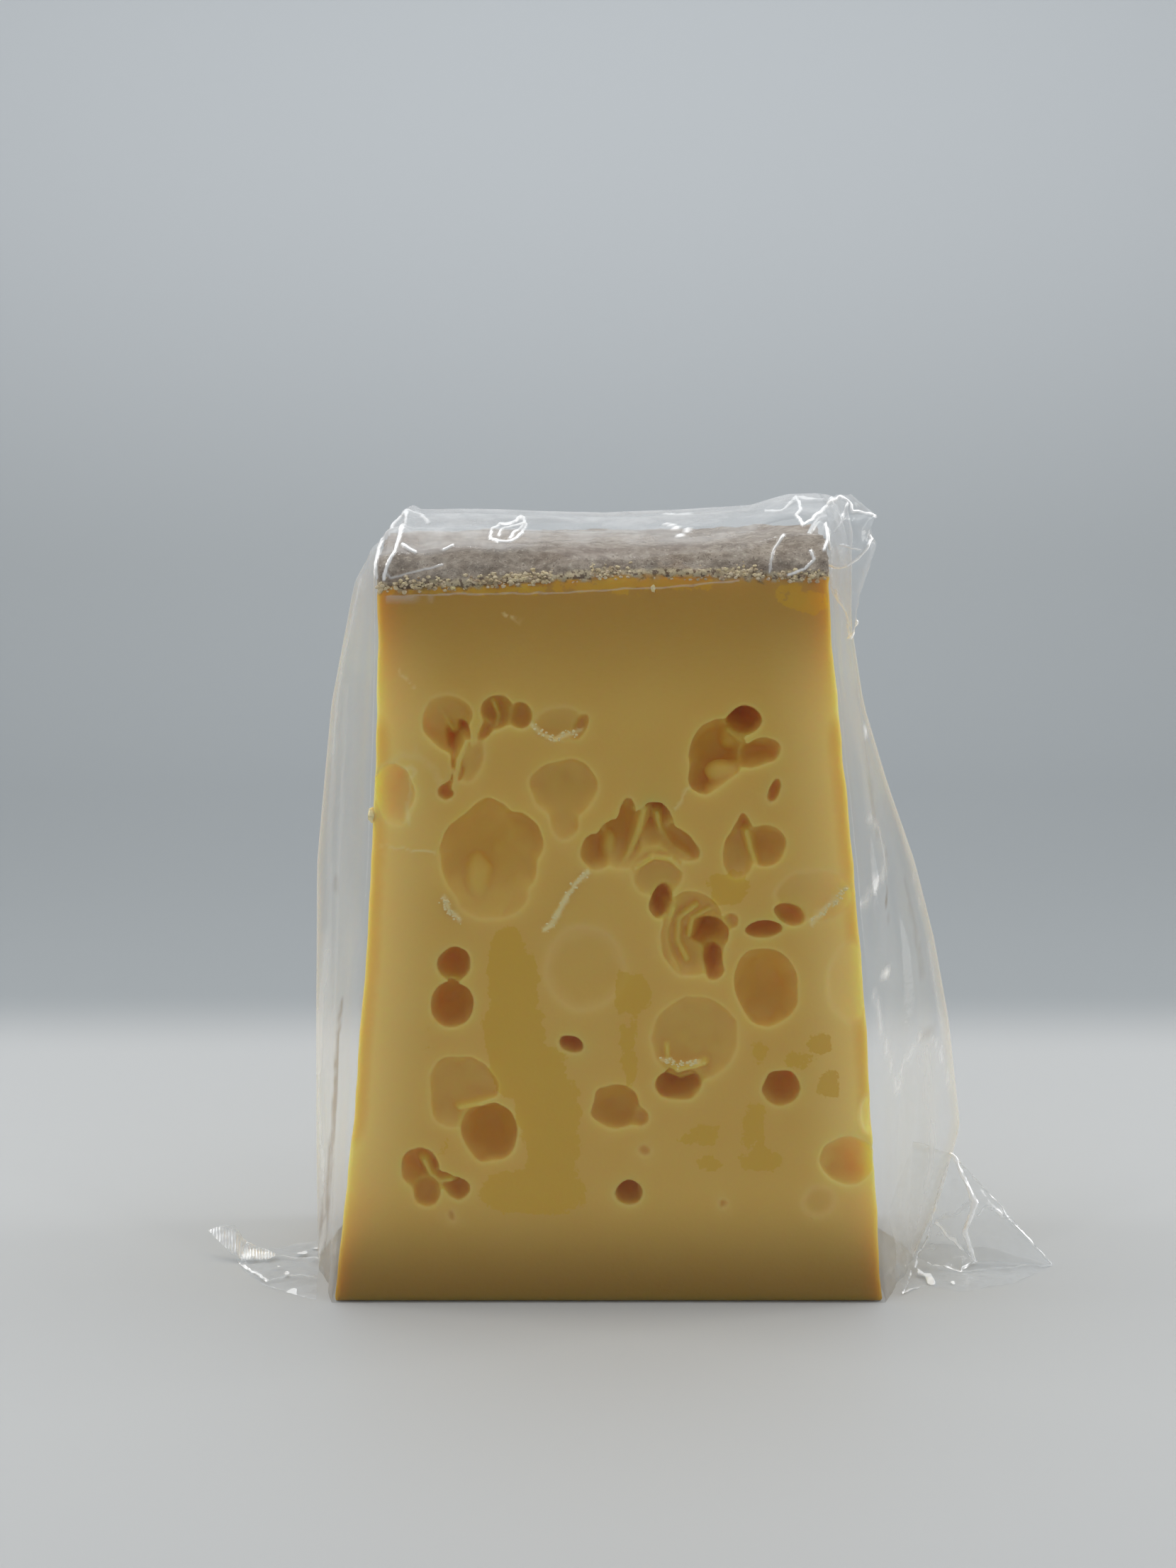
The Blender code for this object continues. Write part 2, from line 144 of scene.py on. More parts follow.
# Folds that stand up inside the eyes: their crest as points (x, y, z), and half their thickness
FOLDS = (
    (((7.0, -23.8, 105.8), (6.0, -22.4, 101.1), (4.2, -22.4, 96.4), (1.9, -23.6, 92.6),
      (0.4, -24.6, 89.9)), 0.6),
    (((4.7, -24.5, 85.9), (4.1, -24.1, 89.2), (5.5, -24.0, 93.5), (8.8, -24.0, 95.7),
      (12.5, -24.1, 95.3), (14.7, -24.5, 93.3)), 0.45),
    (((9.6, -22.6, 104.6), (10.4, -21.4, 101.0), (12.6, -21.8, 97.6), (16.0, -23.4, 95.6)), 0.4),
    (((20.9, -24.7, 108.7), (25.7, -24.4, 112.1), (29.3, -24.4, 113.6), (32.1, -24.7, 114.6)), 0.5),
    (((24.0, -21.0, 121.4), (26.4, -21.6, 119.6), (29.4, -21.6, 120.0)), 0.5),
    (((13.0, -23.4, 84.9), (11.4, -22.6, 80.1), (12.2, -22.6, 75.3), (14.1, -23.6, 72.0)), 0.5),
    (((17.7, -22.6, 85.4), (14.2, -21.8, 82.5), (14.0, -21.8, 77.7), (15.9, -22.4, 73.9)), 0.5),
    (((20.6, -22.4, 84.6), (17.0, -21.4, 82.4), (16.4, -21.0, 78.6)), 0.4),
    (((27.8, -23.4, 100.9), (28.7, -22.6, 97.1), (29.8, -23.8, 94.0)), 0.5),
    (((11.9, -23.6, 55.9), (12.2, -23.8, 52.2), (14.3, -24.2, 50.7), (17.8, -24.1, 51.5),
      (19.7, -24.2, 52.2)), 0.45),
    (((12.4, -21.0, 49.4), (15.0, -20.4, 48.2), (18.2, -21.6, 49.6)), 0.35),
    (((-30.8, -23.6, 42.4), (-26.5, -24.1, 43.4), (-22.3, -24.8, 44.8)), 0.45),
    (((-38.3, -23.2, 30.8), (-37.0, -22.6, 27.6), (-35.1, -23.0, 26.2), (-32.7, -23.6, 26.7)), 0.4),
    (((-28.5, -24.7, 119.6), (-30.2, -24.7, 115.8), (-31.3, -24.8, 110.0)), 0.35),
    (((-18.6, -22.0, 90.8), (-20.5, -22.8, 86.5), (-22.3, -24.2, 83.4)), 0.3),
    (((-20.1, -21.8, 89.9), (-21.2, -22.4, 86.9), (-22.5, -24.0, 84.1)), 0.25),
    (((-34.6, -22.6, 127.4), (-32.6, -21.6, 123.6), (-31.4, -21.0, 121.4)), 0.25),
    (((-30.4, -22.2, 128.4), (-30.8, -21.2, 124.4), (-30.8, -20.6, 121.6)), 0.25),
    (((-23.4, -22.4, 127.6), (-22.2, -21.4, 124.4), (-22.6, -22.4, 122.8)), 0.3),
)
FOLD_FLARE = 0.35
FOLD_BLEND = 0.5
TONGUE_BLEND = 1.2

# Tongues of cheese left inside the largest eyes: middle and half sizes
TONGUES = (
    ((-26.9, -18.6, 88.6), (3.7, 4.4, 7.6)),
    ((24.7, -16.0, 119.4), (2.7, 4.0, 2.8)),
    ((-0.4, -18.5, 96.4), (1.8, 3.6, 4.3)),
    ((23.6, -20.4, 112.6), (4.6, 3.0, 2.6)),
)

# Torn edges and scratches of the broad face: points (x, z), half width, strength
TORN_LINES = (
    (((-4.3, 92.8), (-6.0, 91.4), (-7.4, 89.7), (-8.7, 87.3), (-9.7, 85.4), (-11.1, 83.0),
      (-12.9, 80.6)), 0.5, 1.0),
    (((48.2, 89.7), (45.9, 86.8), (43.6, 84.5), (40.9, 82.3)), 0.5, 1.0),
    (((-15.3, 122.9), (-13.2, 121.1), (-11.2, 120.3), (-8.7, 120.9), (-5.7, 121.6)), 0.4, 0.9),
    (((-45.2, 113.1), (-42.9, 114.0), (-40.0, 114.6), (-39.1, 113.6), (-40.4, 110.2), (-40.7, 106.4),
      (-40.5, 102.5)), 0.4, 0.4),
    (((-46.5, 113.6), (-42.0, 117.2), (-38.0, 116.4), (-34.8, 113.6), (-34.2, 111.0)), 0.7, 0.2),
    (((-46.5, 98.2), (-41.9, 97.7), (-38.1, 97.3), (-34.8, 96.9)), 0.2, 0.6),
    (((-21.2, 145.7), (-18.1, 143.4)), 0.2, 0.6),
    (((-42.0, 134.2), (-38.5, 129.7)), 0.2, 0.5),
    (((16.1, 110.5), (12.9, 105.8)), 0.2, 0.5),
    (((-33.6, 87.4), (-32.6, 84.6), (-30.2, 82.6)), 0.5, 0.9),
    (((11.0, 53.0), (14.2, 52.2), (18.4, 52.6)), 0.4, 0.9),
)

# Eyes of the faces that aren't seen, set by the same draws as in the part
BACK_EYES = 19
SIDE_EYES = 4
BACK_RADII = (2.4, 8.6)
SIDE_RADII = (2.2, 5.4)
EYE_BAND = (20.0, 130.0)
EYE_CLEARANCE = 2.2
EYE_MARGIN = 3.0
SIDE_EYE_FRONT = 13.0
HIDDEN_SEED = 11

# Relief as noises: height, pitch and seed. The crust's bumps fade in round its lower edge
RIND_BUMP = 0.7
RIND_BUMPS = ((RIND_BUMP, 8.0, 31), (0.26, 2.7, 32), (0.24, 1.25, 33))
SIDE_RELIEF = ((0.12, 5.0, 21),)
FACE_RELIEF = ((0.10, 14.0, 22), (0.04, 2.6, 23))
CRUST_REACH = 1.5
CRUST_FADE = (-0.8, 0.6)

# Waviness of the eyes: how far an outline bends and a wall folds, over what lengths, and the
# size from which an eye has all of it
EYE_BEND = 0.45
BEND_PITCH = 3.4
EYE_FOLD = 0.28
FOLD_PITCH = 2.2
FULL_BEND = 4.0

# Grid of the cheese's surface: distances away from an eye end at FAR, and are found within REACH
FAR = 6.0
REACH = 4.0
GRID_STEP = 0.5
GRID_STEP_BACK = 0.85
FINE_DEPTH = 15.0
GRID_MARGIN = 1.5
EYE_BLEND = 0.9
RIM_ROUND = 0.35
EDGE_ROUND = 0.8
CHEESE_FACES = 190_000
BASE_LIFT = 0.2
# Width of the painted glow of light at the wedge's left and right edges
FLANK_WIDTH = 17.0
FRONT_SKIN = 2.0
TORN_JAG = 0.45
SUNK_FULL = 10.0
# Reach of the painted sheen along the eye rims
RIM_REACH = 0.7
LATTICE = 32


def make_camera():
    data = bpy.data.cameras.new("camera")
    data.sensor_fit = "VERTICAL"
    data.sensor_height = FRAME_TALL
    data.lens = CAMERA_LENS
    data.clip_start = 0.01
    data.clip_end = 50.0
    camera = bpy.data.objects.new("camera", data)
    camera.location = Vector(CAMERA_PLACE) * MM
    camera.rotation_euler = (math.radians(90.0 - CAMERA_PITCH), 0.0, 0.0)
    bpy.context.scene.collection.objects.link(camera)
    bpy.context.scene.camera = camera


def between(table, cells, shares):
    """Values between the places of a table, each by its cell and its share of the way through."""
    total = 0.0
    for corner in CORNERS:
        index = tuple((cell + step) % size for cell, step, size in zip(cells, corner, table.shape))
        weight = 1.0
        for share, step in zip(shares, corner):
            weight = weight * (share if step else 1.0 - share)
        total = total + table[index] * weight
    return total


def value_noise(x, y, z, pitch, seed):
    """Smooth noise from -1 to 1 over broadcast arrays, on a seeded lattice."""
    table = np.random.default_rng(seed).random((LATTICE,) * 3, dtype=np.float32) * 2.0 - 1.0
    cells, eases = [], []
    for axis in (x, y, z):
        scaled = np.asarray(axis, dtype=np.float32) / pitch
        cell = np.floor(scaled).astype(np.int32)
        share = scaled - cell
        cells.append(cell)
        eases.append(share * share * (3.0 - 2.0 * share))
    return between(table, cells, eases)


def layered(x, y, z, layers):
    """Sum of noises, each given by its height, pitch and seed."""
    total = 0.0
    for height, pitch, seed in layers:
        total = total + height * value_noise(x, y, z, pitch, seed)
    return total


def smooth_min(a, b, width):
    blend = np.maximum(width - np.abs(a - b), 0.0) / width
    return np.minimum(a, b) - blend * blend * width * 0.25


def smooth_max(a, b, width):
    return -smooth_min(-a, -b, width)


def smooth_step(low, high, value):
    share = np.clip((value - low) / (high - low), 0.0, 1.0)
    return share * share * (3.0 - 2.0 * share)


def wave(place, lane):
    return EDGE_WAVE * noise.noise(Vector((lane, 0.0, place / EDGE_WAVE_PITCH)))


def wedge_left(z):
    share = min(max(z / FACE_HEIGHT, 0.0), 1.0)
    return -(TOP_LEFT + (BASE_HALF - TOP_LEFT) * (1.0 - share) ** LEFT_BOW) + wave(z, 3.0)


def wedge_right(z):
    share = min(max(z / FACE_HEIGHT, 0.0), 1.0)
    swell = RIGHT_SWELL * math.sin(math.pi * share) ** 2
    return BASE_HALF + (TOP_RIGHT - BASE_HALF) * share + swell + wave(z, 8.0)


def edges_at(heights):
    """The wedge's left and right edges at each height."""
    return [np.array([edge(float(z)) for z in heights]) for edge in (wedge_left, wedge_right)]


def scattered(draw, count, radii, reach_of):
    """Round eyes set by seeded draws, none closer to another than the clearance."""
    placed = []
    while len(placed) < count:
        share = 1.0 - len(placed) / count
        radius = radii[0] + (radii[1] - radii[0]) * share ** 1.6
        z = draw.uniform(EYE_BAND[0] + radius, EYE_BAND[1] - radius)
        low, high = reach_of(z)
        place = draw.uniform(low + radius, high - radius)
        clear = all(
            math.hypot(place - other[0], z - other[1]) > radius + other[2] + EYE_CLEARANCE
            for other in placed)
        if clear:
            depth = radius * draw.uniform(0.6, 1.2)
            placed.append((place, z, radius, radius * draw.uniform(0.85, 1.15), depth))
    return placed


def all_eyes():
    """Every eye as its centre, its half sizes along X, Y and Z, its tilt about Y and its rise."""
    eyes = []
    for x, z, half_x, half_z, depth, *lean in FRONT_EYES.values():
        tilt, rise = [*lean, 0.0, 0.0][:2]
        eyes.append(((x, -HALF_DEPTH, z), (half_x, depth, half_z), tilt, rise))
    draw = random.Random(HIDDEN_SEED)
    back = scattered(draw, BACK_EYES, BACK_RADII,
                     lambda z: (wedge_left(z) + EYE_MARGIN, wedge_right(z) - EYE_MARGIN))
    for x, z, half_x, half_z, depth in back:
        eyes.append(((x, HALF_DEPTH, z), (half_x, depth, half_z), 0.0, 0.0))
    for edge in (wedge_left, wedge_right):
        row = scattered(draw, SIDE_EYES, SIDE_RADII,
                        lambda z: (SIDE_EYE_FRONT - HALF_DEPTH, HALF_DEPTH - EYE_MARGIN))
        for y, z, half_y, half_z, depth in row:
            eyes.append(((edge(z), y, z), (depth, half_y, half_z), 0.0, 0.0))
    return eyes


def grid_axes():
    """Places of the grid's planes, closer together near the broad face that is seen."""
    side = BASE_HALF + GRID_MARGIN
    xs = np.arange(-side, side + GRID_STEP, GRID_STEP)
    near = np.arange(-HALF_DEPTH - GRID_MARGIN, -HALF_DEPTH + FINE_DEPTH, GRID_STEP)
    far = np.arange(near[-1] + GRID_STEP_BACK, HALF_DEPTH + GRID_MARGIN + GRID_STEP_BACK, GRID_STEP_BACK)
    top = FACE_HEIGHT + RIND_TILT + RIND_RISE + RIND_BUMP + GRID_MARGIN
    zs = np.arange(-GRID_MARGIN + GRID_STEP / 2, top, GRID_STEP)
    return [axis.astype(np.float32) for axis in (xs, np.concatenate((near, far)), zs)]


def rind_foot(x):
    """Height where the rounded rind begins at a place across the wedge."""
    return FACE_HEIGHT + RIND_TILT * np.clip(x / TOP_LEFT, -1.0, 1.0)


def crust_foot(x):
    """Height of the crust's crumbly lower edge at a place across the wedge."""
    return read_curve(CRUST_EDGE, x)


def body_field(axes):
    """Distance to the uncut wedge, below zero inside."""
    x, y, z = axes[0][:, None, None], axes[1][None, :, None], axes[2][None, None, :]
    left, right = (edge.astype(np.float32) for edge in edges_at(axes[2]))
    across = np.maximum(left - x, x - right) + layered(0.0 * x, y, z, SIDE_RELIEF)
    inset = HALF_DEPTH - np.abs(y)
    field = smooth_max(across, layered(x, 0.0 * y, z, FACE_RELIEF) - inset, EDGE_ROUND)
    field = smooth_max(field, BASE_LIFT - z, EDGE_ROUND * 0.5)
    over = np.maximum(SHOULDER - inset, 0.0) / SHOULDER
    up = np.maximum(z - rind_foot(x), 0.0) / RIND_RISE
    field = smooth_max(field, (np.sqrt(over ** 2 + up ** 2) - 1.0) * RIND_RISE, EDGE_ROUND * 0.5)
    rough = axes[2] > FACE_HEIGHT - CRUST_REACH
    crust = smooth_step(*CRUST_FADE, z[:, :, rough] - crust_foot(x))
    field[:, :, rough] += crust * layered(x, y, z[:, :, rough], RIND_BUMPS)
    return field


def torn_share(x, z):
    """1 on the torn edges of the broad face, 0 away from them."""
    points = np.stack([x.ravel(), np.zeros(x.size), z.ravel()], axis=1)
    return crease_share(points, TORN_LINES, TORN_JAG).reshape(x.shape)


def tear(field, axes):
    """Lifts crumbly edges out of the broad face along the torn lines."""
    front = axes[1] < -HALF_DEPTH + FRONT_SKIN
    x, z = np.meshgrid(axes[0], axes[2], indexing="ij")
    share = torn_share(x, z)[:, None, :]
    grit = value_noise(x[:, None, :], 0.0, z[:, None, :], 0.9, 37)
    field[:, front] -= share * (0.05 + 0.30 * grit)


def lobe_distance(x, y, z, centre, radii, tilt, rise):
    """About the distance to an egg that leans by tilt in the XZ plane and rises with depth."""
    turn = math.radians(tilt)
    dx, dy = x - centre[0], y - centre[1]
    dz = z - centre[2] - rise * dy
    along = dx * math.cos(turn) - dz * math.sin(turn)
    upward = dx * math.sin(turn) + dz * math.cos(turn)
    parts = (along / radii[0], dy / radii[1], upward / radii[2])
    reach = np.sqrt(sum(part ** 2 for part in parts))
    slope = np.sqrt(sum((part / radius) ** 2 for part, radius in zip(parts, radii)))
    return reach * (reach - 1.0) / np.maximum(slope, 1e-4)


def window(axes, low, high):
    """The grid's block between two corners, and its planes' places along each axis."""
    spans = tuple(slice(int(np.searchsorted(axis, a)), int(np.searchsorted(axis, b)))
                  for axis, a, b in zip(axes, low, high))
    x, y, z = (axis[span] for axis, span in zip(axes, spans))
    return spans, x[:, None, None], y[None, :, None], z[None, None, :]


def fold_field(axes):
    """Distance to the folds and tongues inside the eyes, below zero inside one."""
    field = np.full([len(axis) for axis in axes], FAR, dtype=np.float32)
    for crest, thickness in FOLDS:
        for a, b in zip(np.array(crest), np.array(crest[1:])):
            low, high = np.minimum(a, b) - REACH, np.maximum(a, b) + REACH
            high[1] = -HALF_DEPTH + FINE_DEPTH
            spans, x, y, z = window(axes, low, high)
            run = b - a
            share = ((x - a[0]) * run[0] + (z - a[2]) * run[2]) / (run[0] ** 2 + run[2] ** 2)
            share = np.clip(share, 0.0, 1.0)
            away = np.hypot(x - a[0] - share * run[0], z - a[2] - share * run[2])
            deeper = y - a[1] - share * run[1]
            gap = np.hypot(away, np.minimum(deeper, 0.0)) - thickness
            gap = gap - FOLD_FLARE * np.maximum(deeper, 0.0)
            field[spans] = smooth_min(field[spans], gap, FOLD_BLEND)
    for centre, radii in TONGUES:
        reach = np.array(radii) + REACH
        spans, x, y, z = window(axes, centre - reach, centre + reach)
        warp = 0.5 * value_noise(x, y, z, 3.0, 36)
        tongue = lobe_distance(x + warp, y, z + warp, centre, radii, 0.0, 0.0)
        field[spans] = smooth_min(field[spans], tongue, TONGUE_BLEND)
    return field


def eye_field(axes, eyes):
    """Distance to the nearest eye, below zero inside one."""
    field = np.full([len(axis) for axis in axes], FAR, dtype=np.float32)
    for index, (centre, radii, tilt, rise) in enumerate(eyes):
        widest, depth = max(radii[0], radii[2]), radii[1]
        reach = np.array((widest, depth, widest + abs(rise) * depth)) + REACH
        spans, x, y, z = window(axes, centre - reach, centre + reach)
        bend = EYE_BEND * min(1.0, widest / FULL_BEND)
        warp_x = bend * value_noise(x, y, z, BEND_PITCH, 40 + index)
        warp_z = bend * value_noise(x, y, z, BEND_PITCH, 140 + index)
        fold = EYE_FOLD * min(1.0, depth / FULL_BEND)
        folds = fold * value_noise(x, y * 0.5, z, FOLD_PITCH, 240 + index)
        lobe = lobe_distance(x + warp_x, y, z + warp_z, centre, radii, tilt, rise) + folds
        field[spans] = smooth_min(field[spans], lobe, EYE_BLEND)
    return smooth_max(field, -fold_field(axes), FOLD_BLEND)


def surface_net(field, axes):
    """Points and quads of a field's zero surface on a grid of uneven steps."""
    solid = field < 0.0
    cell_shape = [size - 1 for size in field.shape]
    filled = np.zeros(cell_shape, dtype=np.uint8)
    for corner in CORNERS:
        filled += solid[tuple(slice(step, step + size) for step, size in zip(corner, cell_shape))]
    active = (filled > 0) & (filled < len(CORNERS))
    cells = np.argwhere(active)
    label = np.full(cell_shape, -1, dtype=np.int32)
    label[active] = np.arange(len(cells))
    values = [field[tuple((cells + corner).T)] for corner in CORNERS]
    total = np.zeros((len(cells), 3), dtype=np.float32)
    hits = np.zeros(len(cells), dtype=np.float32)
    for first, second in itertools.combinations(range(len(CORNERS)), 2):
        step = np.subtract(CORNERS[second], CORNERS[first])
        if np.abs(step).sum() != 1:
            continue
        a, b = values[first], values[second]
        crossed = (a < 0.0) != (b < 0.0)
        share = np.where(crossed, a / np.where(crossed, a - b, 1.0), 0.0)
        total += (np.asarray(CORNERS[first]) + share[:, None] * step) * crossed[:, None]
        hits += crossed
    place = cells + total / hits[:, None]
    points = np.stack(
        [np.interp(place[:, k], np.arange(len(axes[k])), axes[k]) for k in range(3)], axis=1)
    quads = []
    for axis in range(3):
        others = [other for other in range(3) if other != axis]
        low = [slice(1, size - 1) for size in field.shape]
        high = list(low)
        low[axis], high[axis] = slice(0, cell_shape[axis]), slice(1, field.shape[axis])
        base = np.argwhere(solid[tuple(low)] != solid[tuple(high)]) + [span.start for span in low]
        ring = []
        for step in ((-1, -1), (0, -1), (0, 0), (-1, 0)):
            cell = base.copy()
            cell[:, others] += step
            ring.append(label[tuple(cell.T)])
        ring = np.stack(ring, axis=1)
        leaving = solid[tuple(base.T)]
        flip = leaving if axis == 1 else ~leaving
        ring[flip] = ring[flip][:, ::-1]
        quads.append(ring)
    return points, np.concatenate(quads)


def sample(field, axes, points):
    """Field values between the grid's planes, at an array of points."""
    cells, shares = [], []
    for k in range(3):
        place = np.interp(points[:, k], axes[k], np.arange(len(axes[k])))
        cell = np.clip(np.floor(place).astype(np.int32), 0, len(axes[k]) - 2)
        cells.append(cell)
        shares.append(place - cell)
    return between(field, cells, shares)


def mesh_piece(name, points, faces):
    """An object from points in millimetres."""
    mesh = bpy.data.meshes.new(name)
    mesh.from_pydata((np.asarray(points) * MM).tolist(), [], [list(face) for face in faces])
    mesh.update()
    piece = bpy.data.objects.new(name, mesh)
    bpy.context.scene.collection.objects.link(piece)
    return piece


def point_attributes(mesh, **shares):
    for name, values in shares.items():
        layer = mesh.attributes.new(name, "FLOAT", "POINT")
        layer.data.foreach_set("value", np.asarray(values, dtype=np.float32).ravel())


def thin_out(piece):
    """Fewer faces, where the surface is flat enough to spare them."""
    thin = piece.modifiers.new("thin", "DECIMATE")
    thin.ratio = CHEESE_FACES / (2 * len(piece.data.polygons))
    graph = bpy.context.evaluated_depsgraph_get()
    mesh = bpy.data.meshes.new_from_object(piece.evaluated_get(graph))
    piece.modifiers.clear()
    old, piece.data = piece.data, mesh
    bpy.data.meshes.remove(old)


# Oily patches on the broad face: x, z, half width, half height
OIL_PATCHES = (
    (-21.1, 76.8, 3.4, 4.0), (-19.5, 69.4, 5.3, 6.6), (-19.5, 59.6, 6.4, 6.7),
    (-17.0, 50.7, 8.1, 5.8), (-12.7, 42.6, 6.9, 7.2), (-11.5, 34.4, 5.6, 6.8),
    (-15.8, 24.4, 10.8, 4.8), (24.1, 89.2, 4.2, 3.3), (4.8, 67.1, 3.5, 4.6),
    (4.4, 52.2, 1.5, 3.7), (4.1, 57.7, 1.8, 3.2), (31.0, 54.7, 1.5, 2.4),
    (42.9, 55.9, 2.7, 2.4), (38.3, 52.9, 3.3, 1.5), (45.3, 47.6, 2.2, 2.6),
    (30.1, 38.8, 2.4, 4.7), (31.8, 31.5, 3.9, 2.2), (19.7, 36.7, 2.8, 2.2),
    (20.5, 30.8, 2.3, 1.6), (18.0, 36.2, 3.1, 1.2), (35.7, 149.2, 2.3, 1.9),
    (-24.0, 150.2, 20.0, 0.7), (6.0, 151.6, 14.0, 1.0),
    (39.0, 147.6, 3.3, 1.9), (-34.1, 34.4, 0.9, 1.5), (-37.5, 56.0, 0.6, 2.5),
)
OIL_SQUARE = 3.0
OIL_FAR = 5.0


def oil_gap(x, z):
    """Distance to the nearest oily patch in millimetres, below zero inside one."""
    nearest = np.full(x.shape, OIL_FAR)
    for middle_x, middle_z, half_x, half_z in OIL_PATCHES:
        across = np.abs((x - middle_x) / half_x) ** OIL_SQUARE
        upward = np.abs((z - middle_z) / half_z) ** OIL_SQUARE
        gap = ((across + upward) ** (1.0 / OIL_SQUARE) - 1.0) * min(half_x, half_z)
        nearest = smooth_min(nearest, gap, 1.2)
    return np.minimum(nearest, OIL_FAR)


def flank_share(points):
    """1 at the wedge's left and right edges, fading inward: where a glow of light through the edges is
    painted.
    """
    heights = np.linspace(0.0, FACE_HEIGHT, 120)
    left, right = (np.interp(points[:, 2], heights, edge) for edge in edges_at(heights))
    inward = np.minimum(points[:, 0] - left, right - points[:, 0])
    low = smooth_step(4.0, 40.0, points[:, 2]) * smooth_step(150.0, 120.0, points[:, 2])
    return smooth_step(FLANK_WIDTH, 0.0, inward) * low


def make_cheese():
    axes = grid_axes()
    body = body_field(axes)
    tear(body, axes)
    eyes = eye_field(axes, all_eyes())
    piece = mesh_piece("cheese_paste", *surface_net(smooth_max(body, -eyes, RIM_ROUND), axes))
    thin_out(piece)
    mesh = piece.data
    mesh.shade_smooth()
    points = np.empty(len(mesh.vertices) * 3, dtype=np.float32)
    mesh.vertices.foreach_get("co", points)
    points = points.reshape(-1, 3) / MM
    x, y, z = points.T
    front = y < -HALF_DEPTH + FRONT_SKIN
    sunk = -sample(body, axes, points)
    near_eye = np.maximum(sample(eyes, axes, points), 0.0)
    over_edge = z - crust_foot(x)
    ragged = 0.8 * value_noise(x, y, z, 1.3, 51)
    point_attributes(
        mesh,
        sunk=np.clip(sunk / SUNK_FULL, 0.0, 1.0),
        # pale rims round the eyes, where a sheen of the film is painted
        rim=np.exp(-near_eye / RIM_REACH) * smooth_step(0.5, 0.15, sunk),
        crust=smooth_step(-0.35, 0.35, over_edge + ragged),
        crumbly=smooth_step(2.0, 1.2, over_edge - 0.5 * ragged),
        # painted glow of light at the left and right edges
        flank=flank_share(points),
        torn=torn_share(x, z) * front,
        oil_gap=np.where(front, oil_gap(x, z), OIL_FAR))
    mesh.materials.append(paste_material())
    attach(piece, "root")
    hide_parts("cheese")


class Nodes:
    """Short calls for building a material's nodes."""

    def __init__(self, name):
        self.material = bpy.data.materials.new(name)
        self.material.use_nodes = True
        self.tree = self.material.node_tree
        self.tree.nodes.clear()

    def add(self, kind, inputs=None, output=0, **settings):
        """One output of a new node, whose inputs are values or the outputs of other nodes."""
        node = self.tree.nodes.new("ShaderNode" + kind)
        for key, value in settings.items():
            setattr(node, key, value)
        for key, value in (inputs or {}).items():
            if isinstance(value, bpy.types.NodeSocket):
                self.tree.links.new(value, node.inputs[key])
            else:
                node.inputs[key].default_value = value
        return node.outputs[output]

    def finished(self, shader):
        output = self.tree.nodes.new("ShaderNodeOutputMaterial")
        self.tree.links.new(shader, output.inputs["Surface"])
        return self.material

    def math(self, operation, first, second, clamp=False):
        return self.add("Math", {0: first, 1: second}, operation=operation, use_clamp=clamp)

    def times(self, first, second):
        return self.math("MULTIPLY", first, second)

    def plus(self, first, second, clamp=False):
        return self.math("ADD", first, second, clamp)

    def place(self, axis=None):
        """Place in the piece's own frame, whole or along one axis."""
        place = self.add("TexCoord", output="Object")
        return self.add("SeparateXYZ", {0: place}, axis) if axis else place

    def noise(self, pitch, detail=3.0, stretch=(1.0, 1.0, 1.0), rough=0.55):
        """Noise from 0 to 1 whose blobs are about pitch millimetres wide."""
        place = self.add("Mapping", {0: self.place(), "Scale": stretch})
        return self.add("TexNoise", {"Vector": place, "Scale": 1.0 / (pitch * MM), "Detail": detail,
                                     "Roughness": rough}, "Fac")

    def ramp(self, value, low, high, start=0.0, end=1.0):
        """A smooth change from start at low to end at high."""
        return self.add("MapRange", {"Value": value, "From Min": low, "From Max": high, "To Min": start,
                                     "To Max": end}, interpolation_type="SMOOTHSTEP")

    def mix(self, share, first, second):
        return self.add("Mix", {0: share, 6: first, 7: second}, 2, data_type="RGBA")

    def coats(self, colour, layers):
        """A colour with others laid over it in turn, each by its share."""
        for share, over in layers:
            colour = self.mix(share, colour, rgb(*over))
        return colour

    def blend(self, share, first, second):
        return self.add("MixShader", {0: share, 1: first, 2: second})

    def attribute(self, name):
        return self.add("Attribute", output="Fac", attribute_name=name)

    def bump(self, height, distance, strength=1.0, normal=None):
        inputs = {"Height": height, "Distance": distance * MM, "Strength": strength}
        if normal is not None:
            inputs["Normal"] = normal
        return self.add("Bump", inputs)


# Crumbs: along the rind's front edge and the torn lines, each set by seeded draws
CRUMB_SEED = 5
RIND_CRUMBS = 480
TEAR_CRUMBS = 210
RIND_CRUMB_SIZES = (0.14, 0.46)
TEAR_CRUMB_SIZES = (0.12, 0.32)
CHIPPING = (0.6, 1.15)
LONE_CRUMBS = (
    ((-48.0, -23.6, 104.4), (1.0, 1.2, 1.7)),
    ((8.6, -25.0, 150.4), (0.5, 0.3, 0.8)),
    ((-31.0, -25.0, 150.6), (0.6, 0.3, 0.4)),
)


